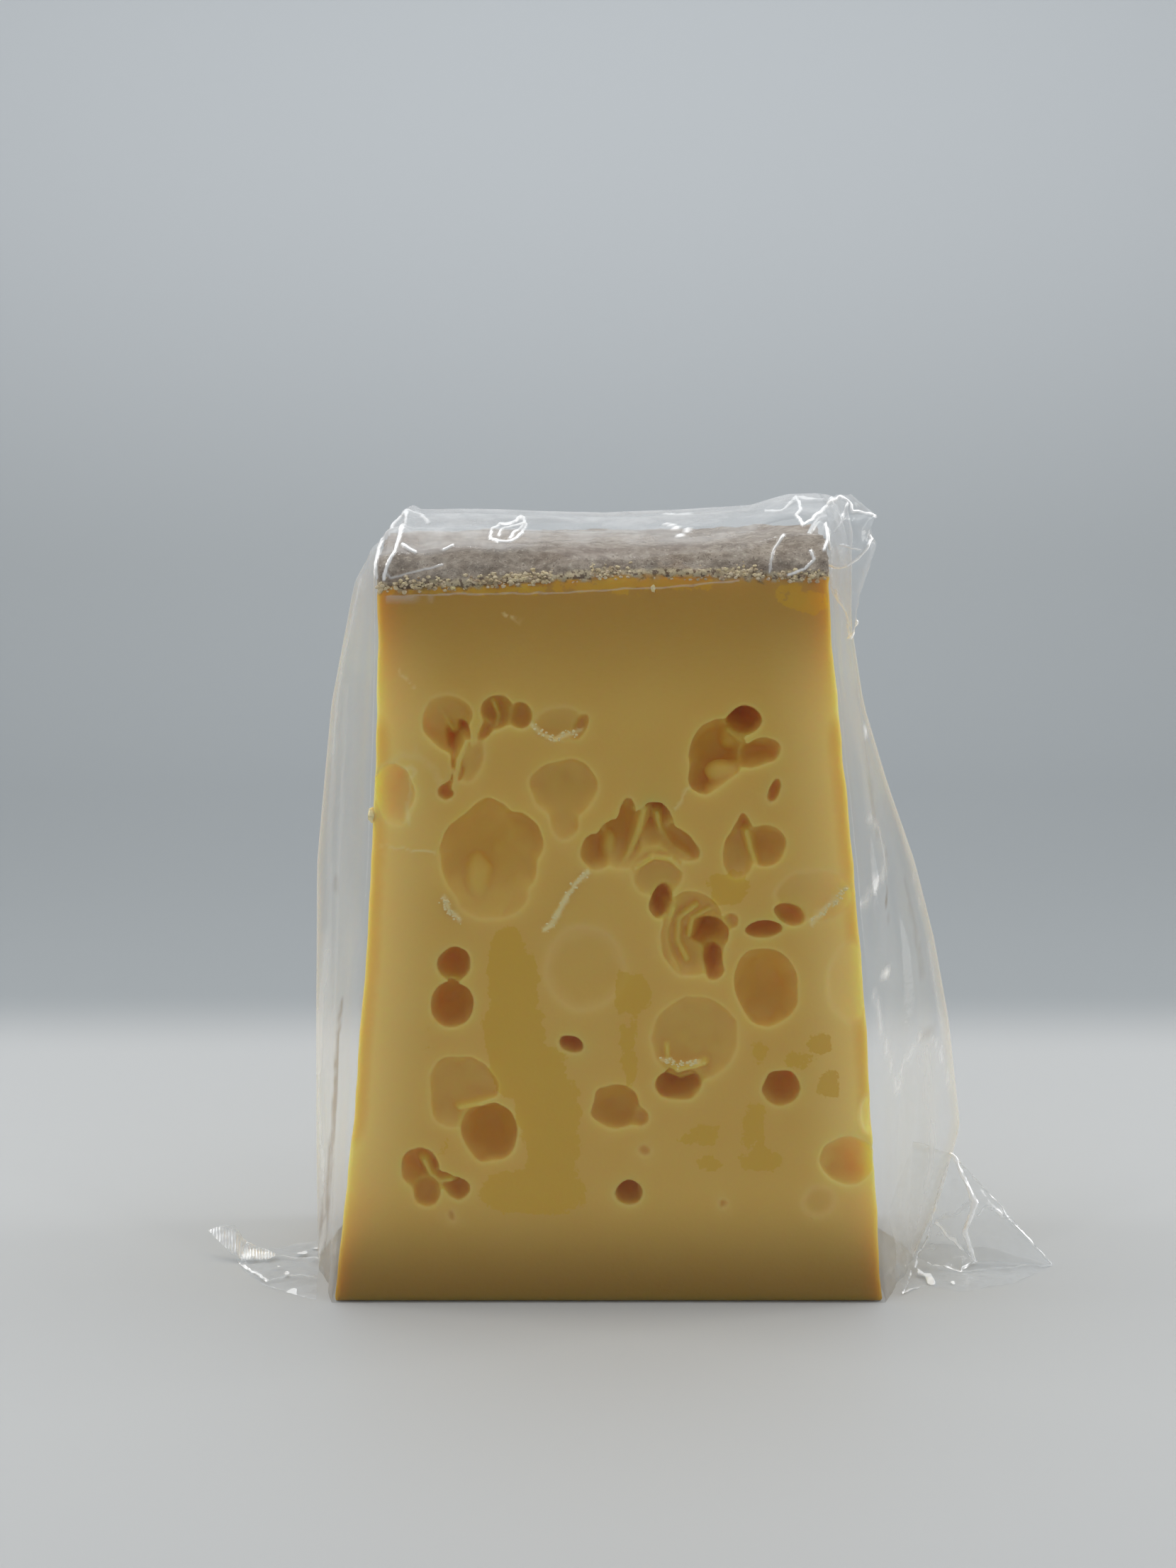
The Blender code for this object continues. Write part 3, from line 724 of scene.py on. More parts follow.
def crumb_places(draw):
    """Middle, half sizes and share of rind of every crumb."""
    places = [(place, sizes, 0.0) for place, sizes in LONE_CRUMBS]
    for _ in range(RIND_CRUMBS):
        x = draw.uniform(wedge_left(FACE_HEIGHT), wedge_right(FACE_HEIGHT))
        z = float(crust_foot(x)) + min(max(draw.gauss(0.9, 0.7), -0.4), 4.0)
        up = max(z - float(rind_foot(x)), 0.0) / RIND_RISE
        inset = SHOULDER * (1.0 - math.sqrt(1.0 - up ** 2))
        size = draw.uniform(*RIND_CRUMB_SIZES)
        middle = (x, -HALF_DEPTH + inset + 0.1, z)
        places.append((middle, (size * 1.3, size * 0.8, size), draw.uniform(0.5, 1.0)))
    torn = [line[0] for line in TORN_LINES if line[2] >= 0.9]
    for _ in range(TEAR_CRUMBS):
        corners = draw.choice(torn)
        leg = draw.randrange(len(corners) - 1)
        share = draw.random()
        x, z = (a + (b - a) * share + draw.gauss(0.0, 0.4)
                for a, b in zip(corners[leg], corners[leg + 1]))
        size = draw.uniform(*TEAR_CRUMB_SIZES)
        places.append(((x, -HALF_DEPTH + 0.1, z), (size * 1.2, size * 0.8, size), 0.0))
    return places


def make_crumbs():
    ball = bmesh.new()
    bmesh.ops.create_icosphere(ball, subdivisions=2, radius=1.0)
    round_points = np.array([vertex.co[:] for vertex in ball.verts])
    round_faces = np.array([[vertex.index for vertex in face.verts] for face in ball.faces])
    ball.free()
    chips = np.random.default_rng(CRUMB_SEED)
    points, faces, crust = [], [], []
    for middle, sizes, rind in crumb_places(random.Random(CRUMB_SEED)):
        faces.append(round_faces + len(points) * len(round_points))
        shape = round_points * chips.uniform(*CHIPPING, (len(round_points), 1)) * np.array(sizes)
        points.append(shape + np.array(middle))
        crust.append(np.full(len(round_points), rind))
    piece = mesh_piece("crumbs", np.concatenate(points), np.concatenate(faces))
    point_attributes(piece.data, crust=np.concatenate(crust))
    piece.data.materials.append(crumb_material())
    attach(piece, "root")
    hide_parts("cheese")


def rgb(red, green, blue):
    """A linear colour from the usual 0 to 255 values."""
    def linear(value):
        share = value / 255.0
        return share / 12.92 if share <= 0.04045 else ((share + 0.055) / 1.055) ** 2.4
    return (linear(red), linear(green), linear(blue), 1.0)


def oil_share(nodes):
    """1 inside the oily patches of the broad face, with ragged edges."""
    ragged = nodes.times(nodes.math("SUBTRACT", nodes.noise(3.0, 6.0, rough=0.7), 0.5), 5.0)
    return nodes.ramp(nodes.plus(nodes.attribute("oil_gap"), ragged), -0.16, 0.16, 1.0, 0.0)


def paste_colour(nodes):
    """Waxy yellow paste, darker towards the top and the bottom, oily in patches and pale along tears, with
    painted light: a glow at the left and right edges, a sheen along the eye rims and warmer bounced light
    deep in the eyes.
    """
    up, flank, sunk = nodes.place("Z"), nodes.attribute("flank"), nodes.attribute("sunk")
    # Painted glow: the paste is paler and warmer at the left and right edges, as if lit through them
    amber = nodes.times(nodes.ramp(flank, 0.88, 1.0, 0.0, 0.55), nodes.ramp(sunk, 0.01, 0.05, 1.0, 0.0))
    return nodes.coats(nodes.mix(nodes.noise(26.0, 2.0), rgb(231, 188, 88), rgb(237, 201, 104)), (
        (nodes.ramp(up, 122.0 * MM, 150.0 * MM), (207, 163, 71)),
        (nodes.ramp(up, 26.0 * MM, 0.0), (170, 130, 42)),
        # painted glow of light at the left and right edges, warmest at the very edge
        (nodes.times(flank, 0.75), (252, 236, 148)),
        (amber, (226, 178, 78)),
        # painted sheen along the eye rims
        (nodes.times(nodes.attribute("rim"), 0.35), (250, 220, 146)),
        (nodes.times(oil_share(nodes), 0.7), (226, 184, 52)),
        # painted bounced light: lighter and warmer deep inside the eyes
        (nodes.ramp(sunk, 0.04, 0.7), (246, 192, 62)),
        (nodes.attribute("torn"), (252, 232, 166)),
    ))


def rind_colour(nodes):
    """Grey-brown rind, finely mottled, with a pale crumbly lower edge."""
    mottle = nodes.ramp(nodes.noise(2.4, 5.0, rough=0.65), 0.34, 0.66)
    brown = nodes.noise(12.0, stretch=(0.35, 1.0, 1.0))
    rind = nodes.coats(nodes.mix(mottle, rgb(126, 112, 97), rgb(170, 158, 143)), (
        (nodes.ramp(brown, 0.48, 0.66, 0.0, 0.6), (112, 90, 74)),
        (nodes.ramp(nodes.noise(0.8, 4.0), 0.56, 0.70, 0.0, 0.6), (196, 186, 168)),
        (nodes.ramp(nodes.noise(0.6), 0.60, 0.68, 0.0, 0.8), (92, 72, 58)),
    ))
    crumbly = nodes.mix(nodes.ramp(nodes.noise(0.9), 0.50, 0.60), rgb(208, 192, 158), rgb(116, 94, 72))
    return nodes.mix(nodes.times(nodes.attribute("crumbly"), 0.85), rind, crumbly)


def crumb_material():
    """Dry crumbs: pale yellow from the paste, beige and brown from the rind."""
    nodes = Nodes("cheese_crumbs")
    mottle = nodes.ramp(nodes.noise(1.6, 2.0), 0.40, 0.62)
    beige = nodes.mix(mottle, rgb(226, 208, 178), rgb(164, 138, 112))
    return nodes.finished(nodes.add("BsdfPrincipled", {
        "Base Color": nodes.mix(nodes.attribute("crust"), rgb(246, 230, 172), beige),
        "Roughness": 0.75,
        "Normal": nodes.bump(nodes.noise(0.4), 0.08),
    }))


def paste_material():
    nodes = Nodes("cheese_paste")
    crust = nodes.attribute("crust")
    dry = nodes.math("MAXIMUM", crust, nodes.times(nodes.attribute("torn"), 0.8))
    gloss = nodes.ramp(nodes.noise(9.0, 4.0), 0.3, 0.7, 0.40, 0.52)
    grain = nodes.bump(nodes.noise(0.9, 4.0), 0.05, 0.7)
    wavy = nodes.bump(nodes.noise(7.0), 0.22, 0.6, grain)
    return nodes.finished(nodes.add("BsdfPrincipled", {
        "Base Color": nodes.mix(crust, paste_colour(nodes), rind_colour(nodes)),
        "Subsurface Weight": nodes.times(nodes.math("SUBTRACT", 1.0, dry), 0.85),
        "Subsurface Radius": (1.0, 0.55, 0.18),
        "Subsurface Scale": 10.0 * MM,
        "Specular IOR Level": 0.3,
        "Roughness": nodes.plus(gloss, nodes.times(crust, 0.4), clamp=True),
        "Normal": nodes.bump(nodes.times(nodes.noise(0.7, 5.0), crust), 0.4, 1.0, wavy),
    }))


# Film: its side seams and its top line, as in the part, and the columns and rows of its net
LEFT_SEAM = ((0.0, 63.5), (20.0, 63.3), (55.0, 62.7), (89.0, 61.7), (123.0, 58.0),
             (148.0, 52.8), (158.0, 48.8), (162.0, 45.4), (163.6, 42.6))
RIGHT_SEAM = ((0.0, 67.0), (14.0, 72.5), (30.0, 76.4), (55.0, 73.0), (72.0, 69.6),
              (89.0, 65.0), (106.0, 58.8), (123.0, 53.4), (140.0, 50.4), (158.0, 50.4),
              (163.6, 49.0))
TOP_LINE = ((-46.5, 160.4), (-44.0, 162.9), (-41.0, 164.0), (-39.5, 163.2), (-20.5, 163.0),
            (-8.0, 162.4), (-1.1, 162.2), (13.5, 162.8), (29.6, 164.0), (34.0, 165.2),
            (37.6, 166.2), (45.0, 166.4), (49.5, 165.6))
PILLOW_TOP = 164.4
PILLOW_FOOT = 149.0
PILLOW_BULGE = 0.85
FILM_GAP = 0.35
FILM_FLOOR = 0.05
SHEET_ROWS = 84
DOME_ROWS = 100
BACK_DOME_ROWS = 26
BACK_ROWS = 44
LEFT_COLUMNS = 19
RIGHT_COLUMNS = 23
FACE_COLUMNS = ((0.0, 0.33, 0.0034), (0.33, 0.78, 0.0135), (0.78, 1.0, 0.0034))
COVER_MIDDLE = (0.0, 0.0, 70.0)
CLEAR_TINT = (0.985, 0.99, 0.995, 1.0)
FILM_WHITE = (0.96, 0.98, 1.0, 1.0)
# Brighter than white: the creases are painted as highlights
CREASE_WHITE = (1.7, 1.7, 1.7, 1.0)


def read_curve(stations, value):
    return np.interp(value, *zip(*stations))


def crease_share(points, lines, jag=0.3, axes=(0, 2)):
    """How close each point is to the lines: 1 on one, 0 away from all."""
    spots = np.stack([points[:, k] + jag * value_noise(*points.T, 1.6, 300 + k) for k in axes], axis=1)
    closest = np.zeros(len(points))
    for corners, width, strength in lines:
        for a, b in zip(np.array(corners), np.array(corners[1:])):
            run = b - a
            share = np.clip((spots - a) @ run / max(run @ run, 1e-6), 0.0, 1.0)
            gap = np.linalg.norm(spots - a - share[:, None] * run, axis=1)
            closest = np.maximum(closest, strength * smooth_step(1.6, 0.4, gap / width))
    return closest


def film_piece(name, points, faces, **shares):
    piece = mesh_piece(name, points, faces)
    point_attributes(piece.data, **shares)
    piece.data.shade_smooth()
    piece.data.materials.append(bpy.data.materials["clear_film"])
    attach(piece, "root")
    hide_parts("bag")


def grid_faces(rows, columns, ring=False):
    """Quads of a rows by columns net, closed into a ring or not."""
    spots = np.arange(rows * columns).reshape(rows, columns)
    if ring:
        spots = np.concatenate((spots, spots[:, :1]), axis=1)
    corners = (spots[:-1, :-1], spots[:-1, 1:], spots[1:, 1:], spots[1:, :-1])
    return np.stack(corners, axis=2).reshape(-1, 4).tolist()


def grid_normals(net, outward):
    """Unit normals of a rows by columns net of points."""
    normal = np.cross(np.gradient(net, axis=1), np.gradient(net, axis=0))
    normal = normal / np.maximum(np.linalg.norm(normal, axis=2, keepdims=True), 1e-6)
    side = np.sign((normal * outward).sum(axis=2, keepdims=True))
    return normal * np.where(side == 0.0, 1.0, side)


# Creases of the film over the rind, raised as ridges and painted white as highlights: points (x, height as
# it is seen), half width, strength
DOME_CREASES = (
    (((-23.7, 157.511), (-23.5, 159.141), (-22.1, 160.648), (-19.6, 160.825), (-17.9, 161.777),
      (-16.8, 160.648), (-17.3, 158.387), (-19.7, 157.034), (-21.9, 157.034), (-23.7, 157.511)),
      0.20, 0.95),
    (((-21.9, 158.121), (-21.3, 159.529), (-18.8, 160.382), (-17.4, 160.825), (-18.0, 159.141),
      (-19.8, 157.755)), 0.18, 0.8),
    (((-46.0, 149.828), (-46.2, 152.305), (-45.9, 155.214), (-45.0, 158.121), (-43.3, 160.98),
      (-41.2, 163.3)), 0.22, 0.85),
    (((-44.5, 149.628), (-44.1, 151.994), (-42.6, 154.881), (-41.7, 158.121), (-41.1, 160.98),
      (-41.4, 163.3)), 0.28, 1.0),
    (((-41.0, 156.368), (-39.7, 155.547), (-38.6, 154.881)), 0.24, 0.9),
    (((-41.2, 163.3), (-39.1, 162.97), (-36.7, 160.98)), 0.26, 0.5),
    (((-33.0, 155.325), (-31.1, 156.235)), 0.20, 0.7),
    (((-44.2, 150.872), (-43.3, 149.85), (-39.8, 150.672), (-32.9, 152.427)), 0.20, 0.40),
    (((11.7, 160.382), (13.4, 159.928), (14.0, 158.121), (15.6, 159.141)), 0.24, 0.8),
    (((11.6, 162.97), (13.7, 162.407), (16.3, 162.484)), 0.26, 0.5),
    (((31.8, 163.3), (34.8, 163.3), (38.4, 166.125), (43.8, 165.33)), 0.20, 0.5),
    (((38.4, 166.125), (38.4, 163.57), (37.4, 162.007), (38.6, 160.055), (40.0, 160.998),
      (43.8, 164.035)), 0.24, 0.9),
    (((35.3, 150.339), (38.5, 151.65), (40.3, 153.405), (39.6, 155.182)), 0.22, 0.9),
    (((43.1, 160.177), (43.1, 157.336), (42.4, 155.182)), 0.24, 0.9),
    (((34.6, 158.121), (32.6, 155.891), (31.8, 153.371), (31.6, 150.961)), 0.20, 0.55),
    (((-45.0, 146.028), (-35.4, 146.428), (-24.7, 146.728), (-13.2, 146.828), (-3.2, 147.128),
      (2.5, 147.628), (11.0, 147.928), (18.2, 148.528), (25.3, 149.328)), 0.16, 0.25),
)

# Rise of a crease on the dome, as it is seen, for each millimetre that it lies farther back
DOME_SLANT = 0.11

# Lower edge of the milky band over the rind, a painted reflection of the overhead light: x, z
MILKY_EDGE = ((-46.0, 156.2), (-35.0, 157.4), (-22.0, 157.5), (-8.0, 158.6), (16.0, 158.8),
              (27.0, 160.6), (34.0, 163.0), (50.0, 164.0))

# Creases of the film beside the wedge, raised as ridges and painted white as highlights: points (x, z),
# half width, strength
SIDE_CREASES = (
    (((-56.6, 120.0), (-58.4, 96.0), (-59.0, 70.0), (-60.0, 30.0)), 0.55, 0.16),
    (((-53.8, 128.0), (-55.4, 100.0), (-57.4, 64.0), (-59.8, 20.0)), 0.45, 0.14),
    (((-50.4, 150.0), (-54.6, 134.0), (-57.6, 112.0)), 0.5, 0.22),
    (((-59.1, 75.2), (-60.9, 60.1), (-61.9, 45.2)), 1.0, 0.22),
    (((-62.4, 58.0), (-61.8, 36.0), (-60.6, 12.0), (-62.6, 1.0)), 0.35, 0.3),
    (((52.1, 118.7), (55.0, 119.2)), 0.35, 0.9),
    (((56.6, 70.1), (59.4, 71.2)), 0.35, 0.9),
    (((51.8, 85.7), (56.1, 90.8)), 0.9, 0.30),
    (((52.4, 102.7), (55.2, 98.9), (56.7, 94.2), (57.4, 89.5)), 0.4, 0.28),
    (((60.0, 43.8), (61.3, 48.7), (65.0, 53.5), (68.8, 52.8), (71.3, 47.9), (73.0, 41.3)), 0.4, 0.34),
    (((54.4, 66.9), (56.6, 56.7), (60.0, 43.8)), 0.4, 0.30),
    (((52.4, 138.0), (56.0, 118.0), (62.0, 97.0), (67.4, 76.0), (72.4, 50.0)), 0.45, 0.24),
)

# Darker, tan folds of the side film, a painted shade and a painted reflection of the cheese, in the same
# form
COVER_SHADES = (
    (((-55.6, 63.2), (-57.4, 46.0), (-59.5, 27.7), (-62.1, 6.4)), 0.40, 0.9),
    (((-57.0, 45.2), (-59.0, 25.5), (-61.2, 6.4)), 0.30, 0.8),
    (((-56.9, 88.4), (-56.6, 85.4)), 0.60, 0.4),
    (((56.9, 95.0), (57.4, 89.5), (57.4, 85.0)), 0.25, 0.5),
    (((57.5, 85.4), (56.9, 84.2)), 0.30, 1.0),
    (((58.3, 82.2), (57.8, 81.0)), 0.30, 0.9),
    (((65.6, 54.4), (69.4, 53.0)), 0.90, 0.35),
    (((50.4, 128.0), (53.0, 112.0), (54.6, 98.0)), 0.60, 0.30),
    (((62.4, 86.0), (66.2, 66.0)), 0.50, 0.35),
)

# Milky patch under the arch of the right side: x, z, half width, half height
ARCH = (66.5, 31.0, 6.8, 22.5)


def cover_columns():
    """Columns of the cover as (zone, share): left side 0, broad face 1, right side 2."""
    left = [(0, share) for share in np.linspace(0.0, 1.0, LEFT_COLUMNS)[:-1]]
    face = [(1, share) for span in FACE_COLUMNS for share in np.arange(*span)]
    return left + face + [(2, share) for share in np.linspace(0.0, 1.0, RIGHT_COLUMNS)]


def cover_row(columns, height, lift, side):
    """One row of the cover: its height before the top line, and its share up the dome."""
    left_seam = -read_curve(LEFT_SEAM, height)
    right_seam = read_curve(RIGHT_SEAM, height)
    left_foot = max(wedge_left(height) - FILM_GAP, left_seam + 1.0)
    right_foot = min(wedge_right(height) + FILM_GAP, right_seam - 1.0)
    depth = (HALF_DEPTH + FILM_GAP) * (1.0 - lift ** 3) ** (1 / 2.2)
    spans = ((left_seam, left_foot), (left_foot, right_foot), (right_foot, right_seam))
    row = []
    for zone, share in columns:
        start, end = spans[zone]
        x = start + (end - start) * share
        reach = (share, 1.0, 1.0 - share)[zone] ** PILLOW_BULGE
        z = height
        if lift > 0.0:
            z = PILLOW_FOOT + (read_curve(TOP_LINE, x) - PILLOW_FOOT) * lift
        row.append((x, side * depth * reach, z))
    return row


def cover_net():
    columns = cover_columns()
    rows = [cover_row(columns, height, 0.0, -1.0)
            for height in np.linspace(FILM_FLOOR, PILLOW_FOOT, SHEET_ROWS)]
    up = np.linspace(0.0, 1.0, DOME_ROWS + 1)[1:]
    down = np.linspace(0.0, 1.0, BACK_DOME_ROWS + 1)[-2:0:-1]
    for shares, side in ((up, -1.0), (down, 1.0)):
        for share in shares:
            lift = math.sin(math.pi / 2 * share)
            height = PILLOW_FOOT + (PILLOW_TOP - PILLOW_FOOT) * lift
            rows.append(cover_row(columns, height, lift, side))
    rows += [cover_row(columns, height, 0.0, 1.0)
             for height in np.linspace(PILLOW_FOOT, FILM_FLOOR, BACK_ROWS)]
    return np.array(rows), columns


def make_cover():
    """The loose film: two sheets that meet at the side seams and over the rind."""
    net, columns = cover_net()
    shape = net.shape[:2]
    normals = grid_normals(net, (net - COVER_MIDDLE) * (1.0, 6.0, 1.0))
    x, y, z = np.moveaxis(net, 2, 0)
    zone, share = np.array(columns).T[:, None, :]
    side = np.where(zone == 1, 0.0, np.sin(math.pi * share) ** 0.7) * np.ones(shape)
    dome = smooth_step(PILLOW_FOOT + 1.0, PILLOW_FOOT + 8.0, z)
    upright = (0.75 * value_noise(x, y, z * 0.05, 5.5, 61)
               + 0.40 * value_noise(x, y, z * 0.08, 2.2, 62))
    level = (0.55 * value_noise(x * 0.10, y, z, 6.0, 63)
             + 0.30 * value_noise(x * 0.16, y, z, 2.4, 64))
    cling = 0.05 + 0.05 * value_noise(x, y, z, 17.0, 65)
    flat = net.reshape(-1, 3)
    near = (flat[:, 1] < 1.0).reshape(shape)
    seen = flat.copy()
    seen[:, 2] += DOME_SLANT * seen[:, 1]
    crease = np.maximum(crease_share(flat, SIDE_CREASES), crease_share(seen, DOME_CREASES, 0.2))
    seam = np.where(zone == 1, 1.0, np.where(zone == 0, share, 1.0 - share))
    # a painted highlight line along the seams
    crease = np.maximum(crease.reshape(shape) * near, 0.30 * np.exp(-(seam / 0.05) ** 2))
    rise = side * (1.0 - dome) * upright + dome * level + cling + 0.42 * crease * np.maximum(side, dome)
    net = net + normals * rise[:, :, None]
    net[:, :, 2] = np.maximum(net[:, :, 2], FILM_FLOOR)
    # painted reflection of the overhead light: a milky band over the rind
    edge = read_curve(MILKY_EDGE, x) + 0.7 * value_noise(x, 0.0 * y, 0.0 * z, 7.0, 66)
    milky = smooth_step(-0.5, 0.8, z - edge) * (zone == 1)
    arch = np.hypot((x - ARCH[0]) / ARCH[2], (z - ARCH[1]) / ARCH[3])
    # Haze: milky film, with a painted sheen of the light on the sides and over the dome
    haze = 0.005 + side * (0.095 + 0.12 * upright) + dome * (0.085 + 0.12 * level)
    haze = haze + milky * (0.22 + 0.20 * level) + 0.16 * smooth_step(1.0, 0.9, arch) * near * side
    shade = crease_share(flat, COVER_SHADES).reshape(shape) * near * side
    last = (shape[0] - 1) * shape[1]
    hem = [(column + 1, column, last + column, last + column + 1) for column in range(shape[1] - 1)]
    film_piece("film_cover", net.reshape(-1, 3), grid_faces(*shape) + hem,
               haze=np.clip(haze, 0.0, 1.0), crease=crease, shade=shade)


# Bunched flap: height, left and right reach on its near side
FLAP_LEFT = ((137.3, 49.7), (141.8, 49.0), (144.4, 47.9), (147.3, 46.2), (150.2, 45.5), (152.8, 44.1),
             (154.2, 42.3), (156.3, 40.9), (158.9, 41.1), (160.5, 41.9), (162.0, 43.0),
             (164.2, 44.7), (165.8, 45.7), (166.8, 46.9))
FLAP_RIGHT = ((137.3, 50.1), (138.9, 50.9), (140.4, 51.4), (141.2, 51.3), (149.7, 52.7),
              (157.1, 54.8), (160.2, 53.7), (162.8, 54.8), (165.1, 51.5), (166.8, 49.3))
FLAP_DEPTH = ((137.3, 0.5), (144.2, 2.0), (151.2, 4.4), (157.2, 7.0), (162.2, 6.4), (166.8, 2.0))
# Creases of the flap, raised as ridges and painted white as highlights
FLAP_CREASES = (
    (((41.8, 155.1), (40.9, 156.3), (41.2, 158.9), (42.0, 160.5), (43.0, 162.0), (43.5, 163.1),
      (45.0, 165.1), (46.1, 166.1), (47.1, 166.4), (48.1, 165.9), (48.9, 164.9), (49.5, 164.0),
      (51.3, 163.7), (53.1, 163.4), (54.5, 162.5)), 0.22, 1.0),
    (((41.6, 155.1), (42.4, 154.2), (43.7, 153.4), (45.3, 152.9), (47.4, 152.7), (49.2, 153.4),
      (50.7, 154.4), (52.0, 156.0), (53.4, 158.1), (52.9, 158.9)), 0.22, 0.9),
    (((43.6, 163.6), (43.6, 164.9), (44.2, 165.3), (44.8, 164.6)), 0.22, 0.8),
    (((44.1, 160.5), (44.5, 159.7), (44.5, 158.4), (44.7, 156.8)), 0.30, 1.0),
    (((46.7, 157.3), (48.3, 156.9), (51.2, 156.5)), 0.24, 0.55),
    (((48.4, 164.9), (47.7, 163.3), (46.7, 161.5), (45.8, 159.7)), 0.26, 0.5),
    (((46.4, 147.3), (48.1, 144.4), (49.2, 141.8), (50.0, 137.3)), 0.24, 0.5),
    (((51.2, 141.1), (51.4, 140.4), (50.9, 138.9), (50.0, 137.5)), 0.30, 0.9),
)
FLAP_MIDDLE = (48.0, -3.0, 155.2)
FLAP_ROWS = 150
FLAP_COLUMNS = 130


def make_flap():
    """The bunched corner as a pleated tube, pinched at its tail."""
    angle = np.linspace(0.0, 2 * math.pi, FLAP_COLUMNS, endpoint=False)
    squared = np.abs(np.sin(angle)) ** 0.8 * np.sign(np.sin(angle))
    rows = []
    for z in np.linspace(FLAP_LEFT[0][0], FLAP_LEFT[-1][0], FLAP_ROWS):
        left, right, deep = (read_curve(curve, z) for curve in (FLAP_LEFT, FLAP_RIGHT, FLAP_DEPTH))
        rows.append(np.stack(((left + right) / 2 - (right - left) / 2 * np.cos(angle),
                              FLAP_MIDDLE[1] - deep * squared, np.full(FLAP_COLUMNS, z)), axis=1))
    net = np.array(rows)
    flat = net.reshape(-1, 3)
    shape = net.shape[:2]
    near = (flat[:, 1] < -2.5).reshape(shape)
    crease = crease_share(flat, FLAP_CREASES, 0.35).reshape(shape) * near
    x, y, z = np.moveaxis(net, 2, 0)
    rumple = 0.55 * value_noise(x, y, z * 0.5, 3.2, 71) + 0.22 * value_noise(x, y, z, 1.3, 72)
    net = net + grid_normals(net, net - FLAP_MIDDLE) * (rumple + 0.5 * crease)[:, :, None]
    film_piece("film_flap", net.reshape(-1, 3), grid_faces(*shape, ring=True),
               haze=np.clip(0.12 + 0.16 * rumple, 0.01, 0.8), crease=crease)


# Ears: named points of their folds, the flat triangles between them and their creases, which are painted
# white as highlights
RIGHT_POINTS = {
    "A": (74.4, -3.0, 24.9), "B": (79.4, -6.0, 14.7), "C": (77.3, -7.0, 8.5), "D": (79.8, -4.2, 0.5),
    "T": (96.6, -5.6, 0.4), "E": (85.4, -4.0, 13.2), "F1": (71.3, -4.5, 17.0), "F2": (69.9, -5.5, 10.4),
    "F3": (69.4, -5.0, 7.2), "F4": (67.0, -6.0, 2.4), "G": (62.2, -21.3, 0.4), "H": (71.1, -5.5, 9.9),
    "I": (77.2, -5.5, 3.6), "K1": (83.4, -5.2, 13.4), "K2": (87.0, -5.0, 10.6), "K3": (91.8, -5.2, 5.6),
    "M1": (70.4, -6.6, 0.6), "M2": (76.2, -9.2, 0.5), "L1": (67.0, -16.6, 0.2), "L2": (75.0, -19.5, 0.2),
    "L3": (87.1, -15.2, 0.2), "N1": (74.0, 4.0, 16.0), "N2": (84.0, 5.0, 0.2), "N3": (67.0, 9.0, 0.2),
    "P": (66.0, -2.0, 27.0), "Q": (60.0, -10.0, 14.0), "S1": (67.0, -5.0, 9.5), "S2": (70.3, -5.0, 9.7),
    "S3": (73.2, -5.4, 11.5), "S4": (75.4, -5.6, 12.3), "S5": (78.3, -6.0, 14.6),
    "S6": (80.0, -6.0, 12.0), "S7": (81.7, -5.6, 13.9), "R1": (69.7, -5.0, 8.8),
    "R2": (68.6, -5.2, 4.4), "R3": (70.6, -5.4, 4.6),
}
RIGHT_TRIANGLES = (
    "A F1 B", "F1 H B", "H C B", "F1 F2 H", "F2 F3 H", "F3 I H", "H I C", "I D C", "F3 F4 I",
    "F4 M1 I", "M1 M2 I", "M2 D I", "F4 G M1", "G L1 M1", "L1 L2 M2", "L1 M2 M1", "L2 L3 M2",
    "L3 D M2", "A B K1", "A K1 E", "E K1 K2", "E K2 K3", "E K3 T", "B C K1", "C D K1", "D K2 K1",
    "D K3 K2", "D T K3", "D L3 T", "A E N1", "E T N2", "E N2 N1", "N1 N2 N3", "A N1 P", "P N1 N3",
    "A P F1", "P Q F1", "F1 Q F2", "Q F4 F2", "F2 F4 F3", "Q G F4",
)
RIGHT_CREASES = (
    ("A B C D", 0.50, 1.0), ("A F1 F2 F3 F4 G", 0.24, 0.8), ("H I D", 0.34, 1.0),
    ("S6 S7 K1", 0.22, 0.6), ("K1 K2 K3 T", 0.36, 0.9), ("A E T", 0.26, 0.5),
    ("F4 M1 M2 D", 0.26, 0.6), ("M2 T", 0.22, 0.3), ("G L1", 0.26, 0.6),
)
# Milky clouds of the ears, partly a painted sheen: named points, half width, strength
RIGHT_CLOUDS = (("S1 S2 S3 S4 S5", 0.6, 0.45), ("R1 R2 R3", 0.9, 0.40), ("K1 K2 K3", 0.9, 0.25))
LEFT_POINTS = {
    "T": (-87.4, 0.0, 6.1), "U1": (-84.8, 0.0, 7.1), "U2": (-81.7, 0.0, 7.2), "U3": (-79.0, -0.5, 3.6),
    "U4": (-73.9, -0.5, 1.4), "V1": (-84.0, -2.4, 3.6), "V2": (-80.2, -4.6, 0.5),
    "V3": (-76.8, -5.4, 0.3), "W1": (-72.0, -1.5, 0.6), "W2": (-66.0, -2.5, 0.9),
    "X1": (-76.4, -9.6, 0.9), "X2": (-73.0, -15.1, 0.3), "X3": (-67.0, -12.0, 0.7),
    "Y1": (-61.4, -24.0, 0.3), "Y2": (-62.6, -4.0, 0.9), "Y3": (-62.2, -14.0, 0.5),
    "S1": (-84.6, -1.2, 5.4), "S2": (-81.0, -2.3, 4.0), "S3": (-77.9, -3.0, 2.0), "S4": (-74.0, -1.8, 0.9),
    "Z1": (-78.6, -8.4, 0.2), "Z2": (-73.6, -16.6, 0.2), "Z3": (-64.0, 8.0, 0.3), "Z4": (-76.0, 4.0, 0.2),
}
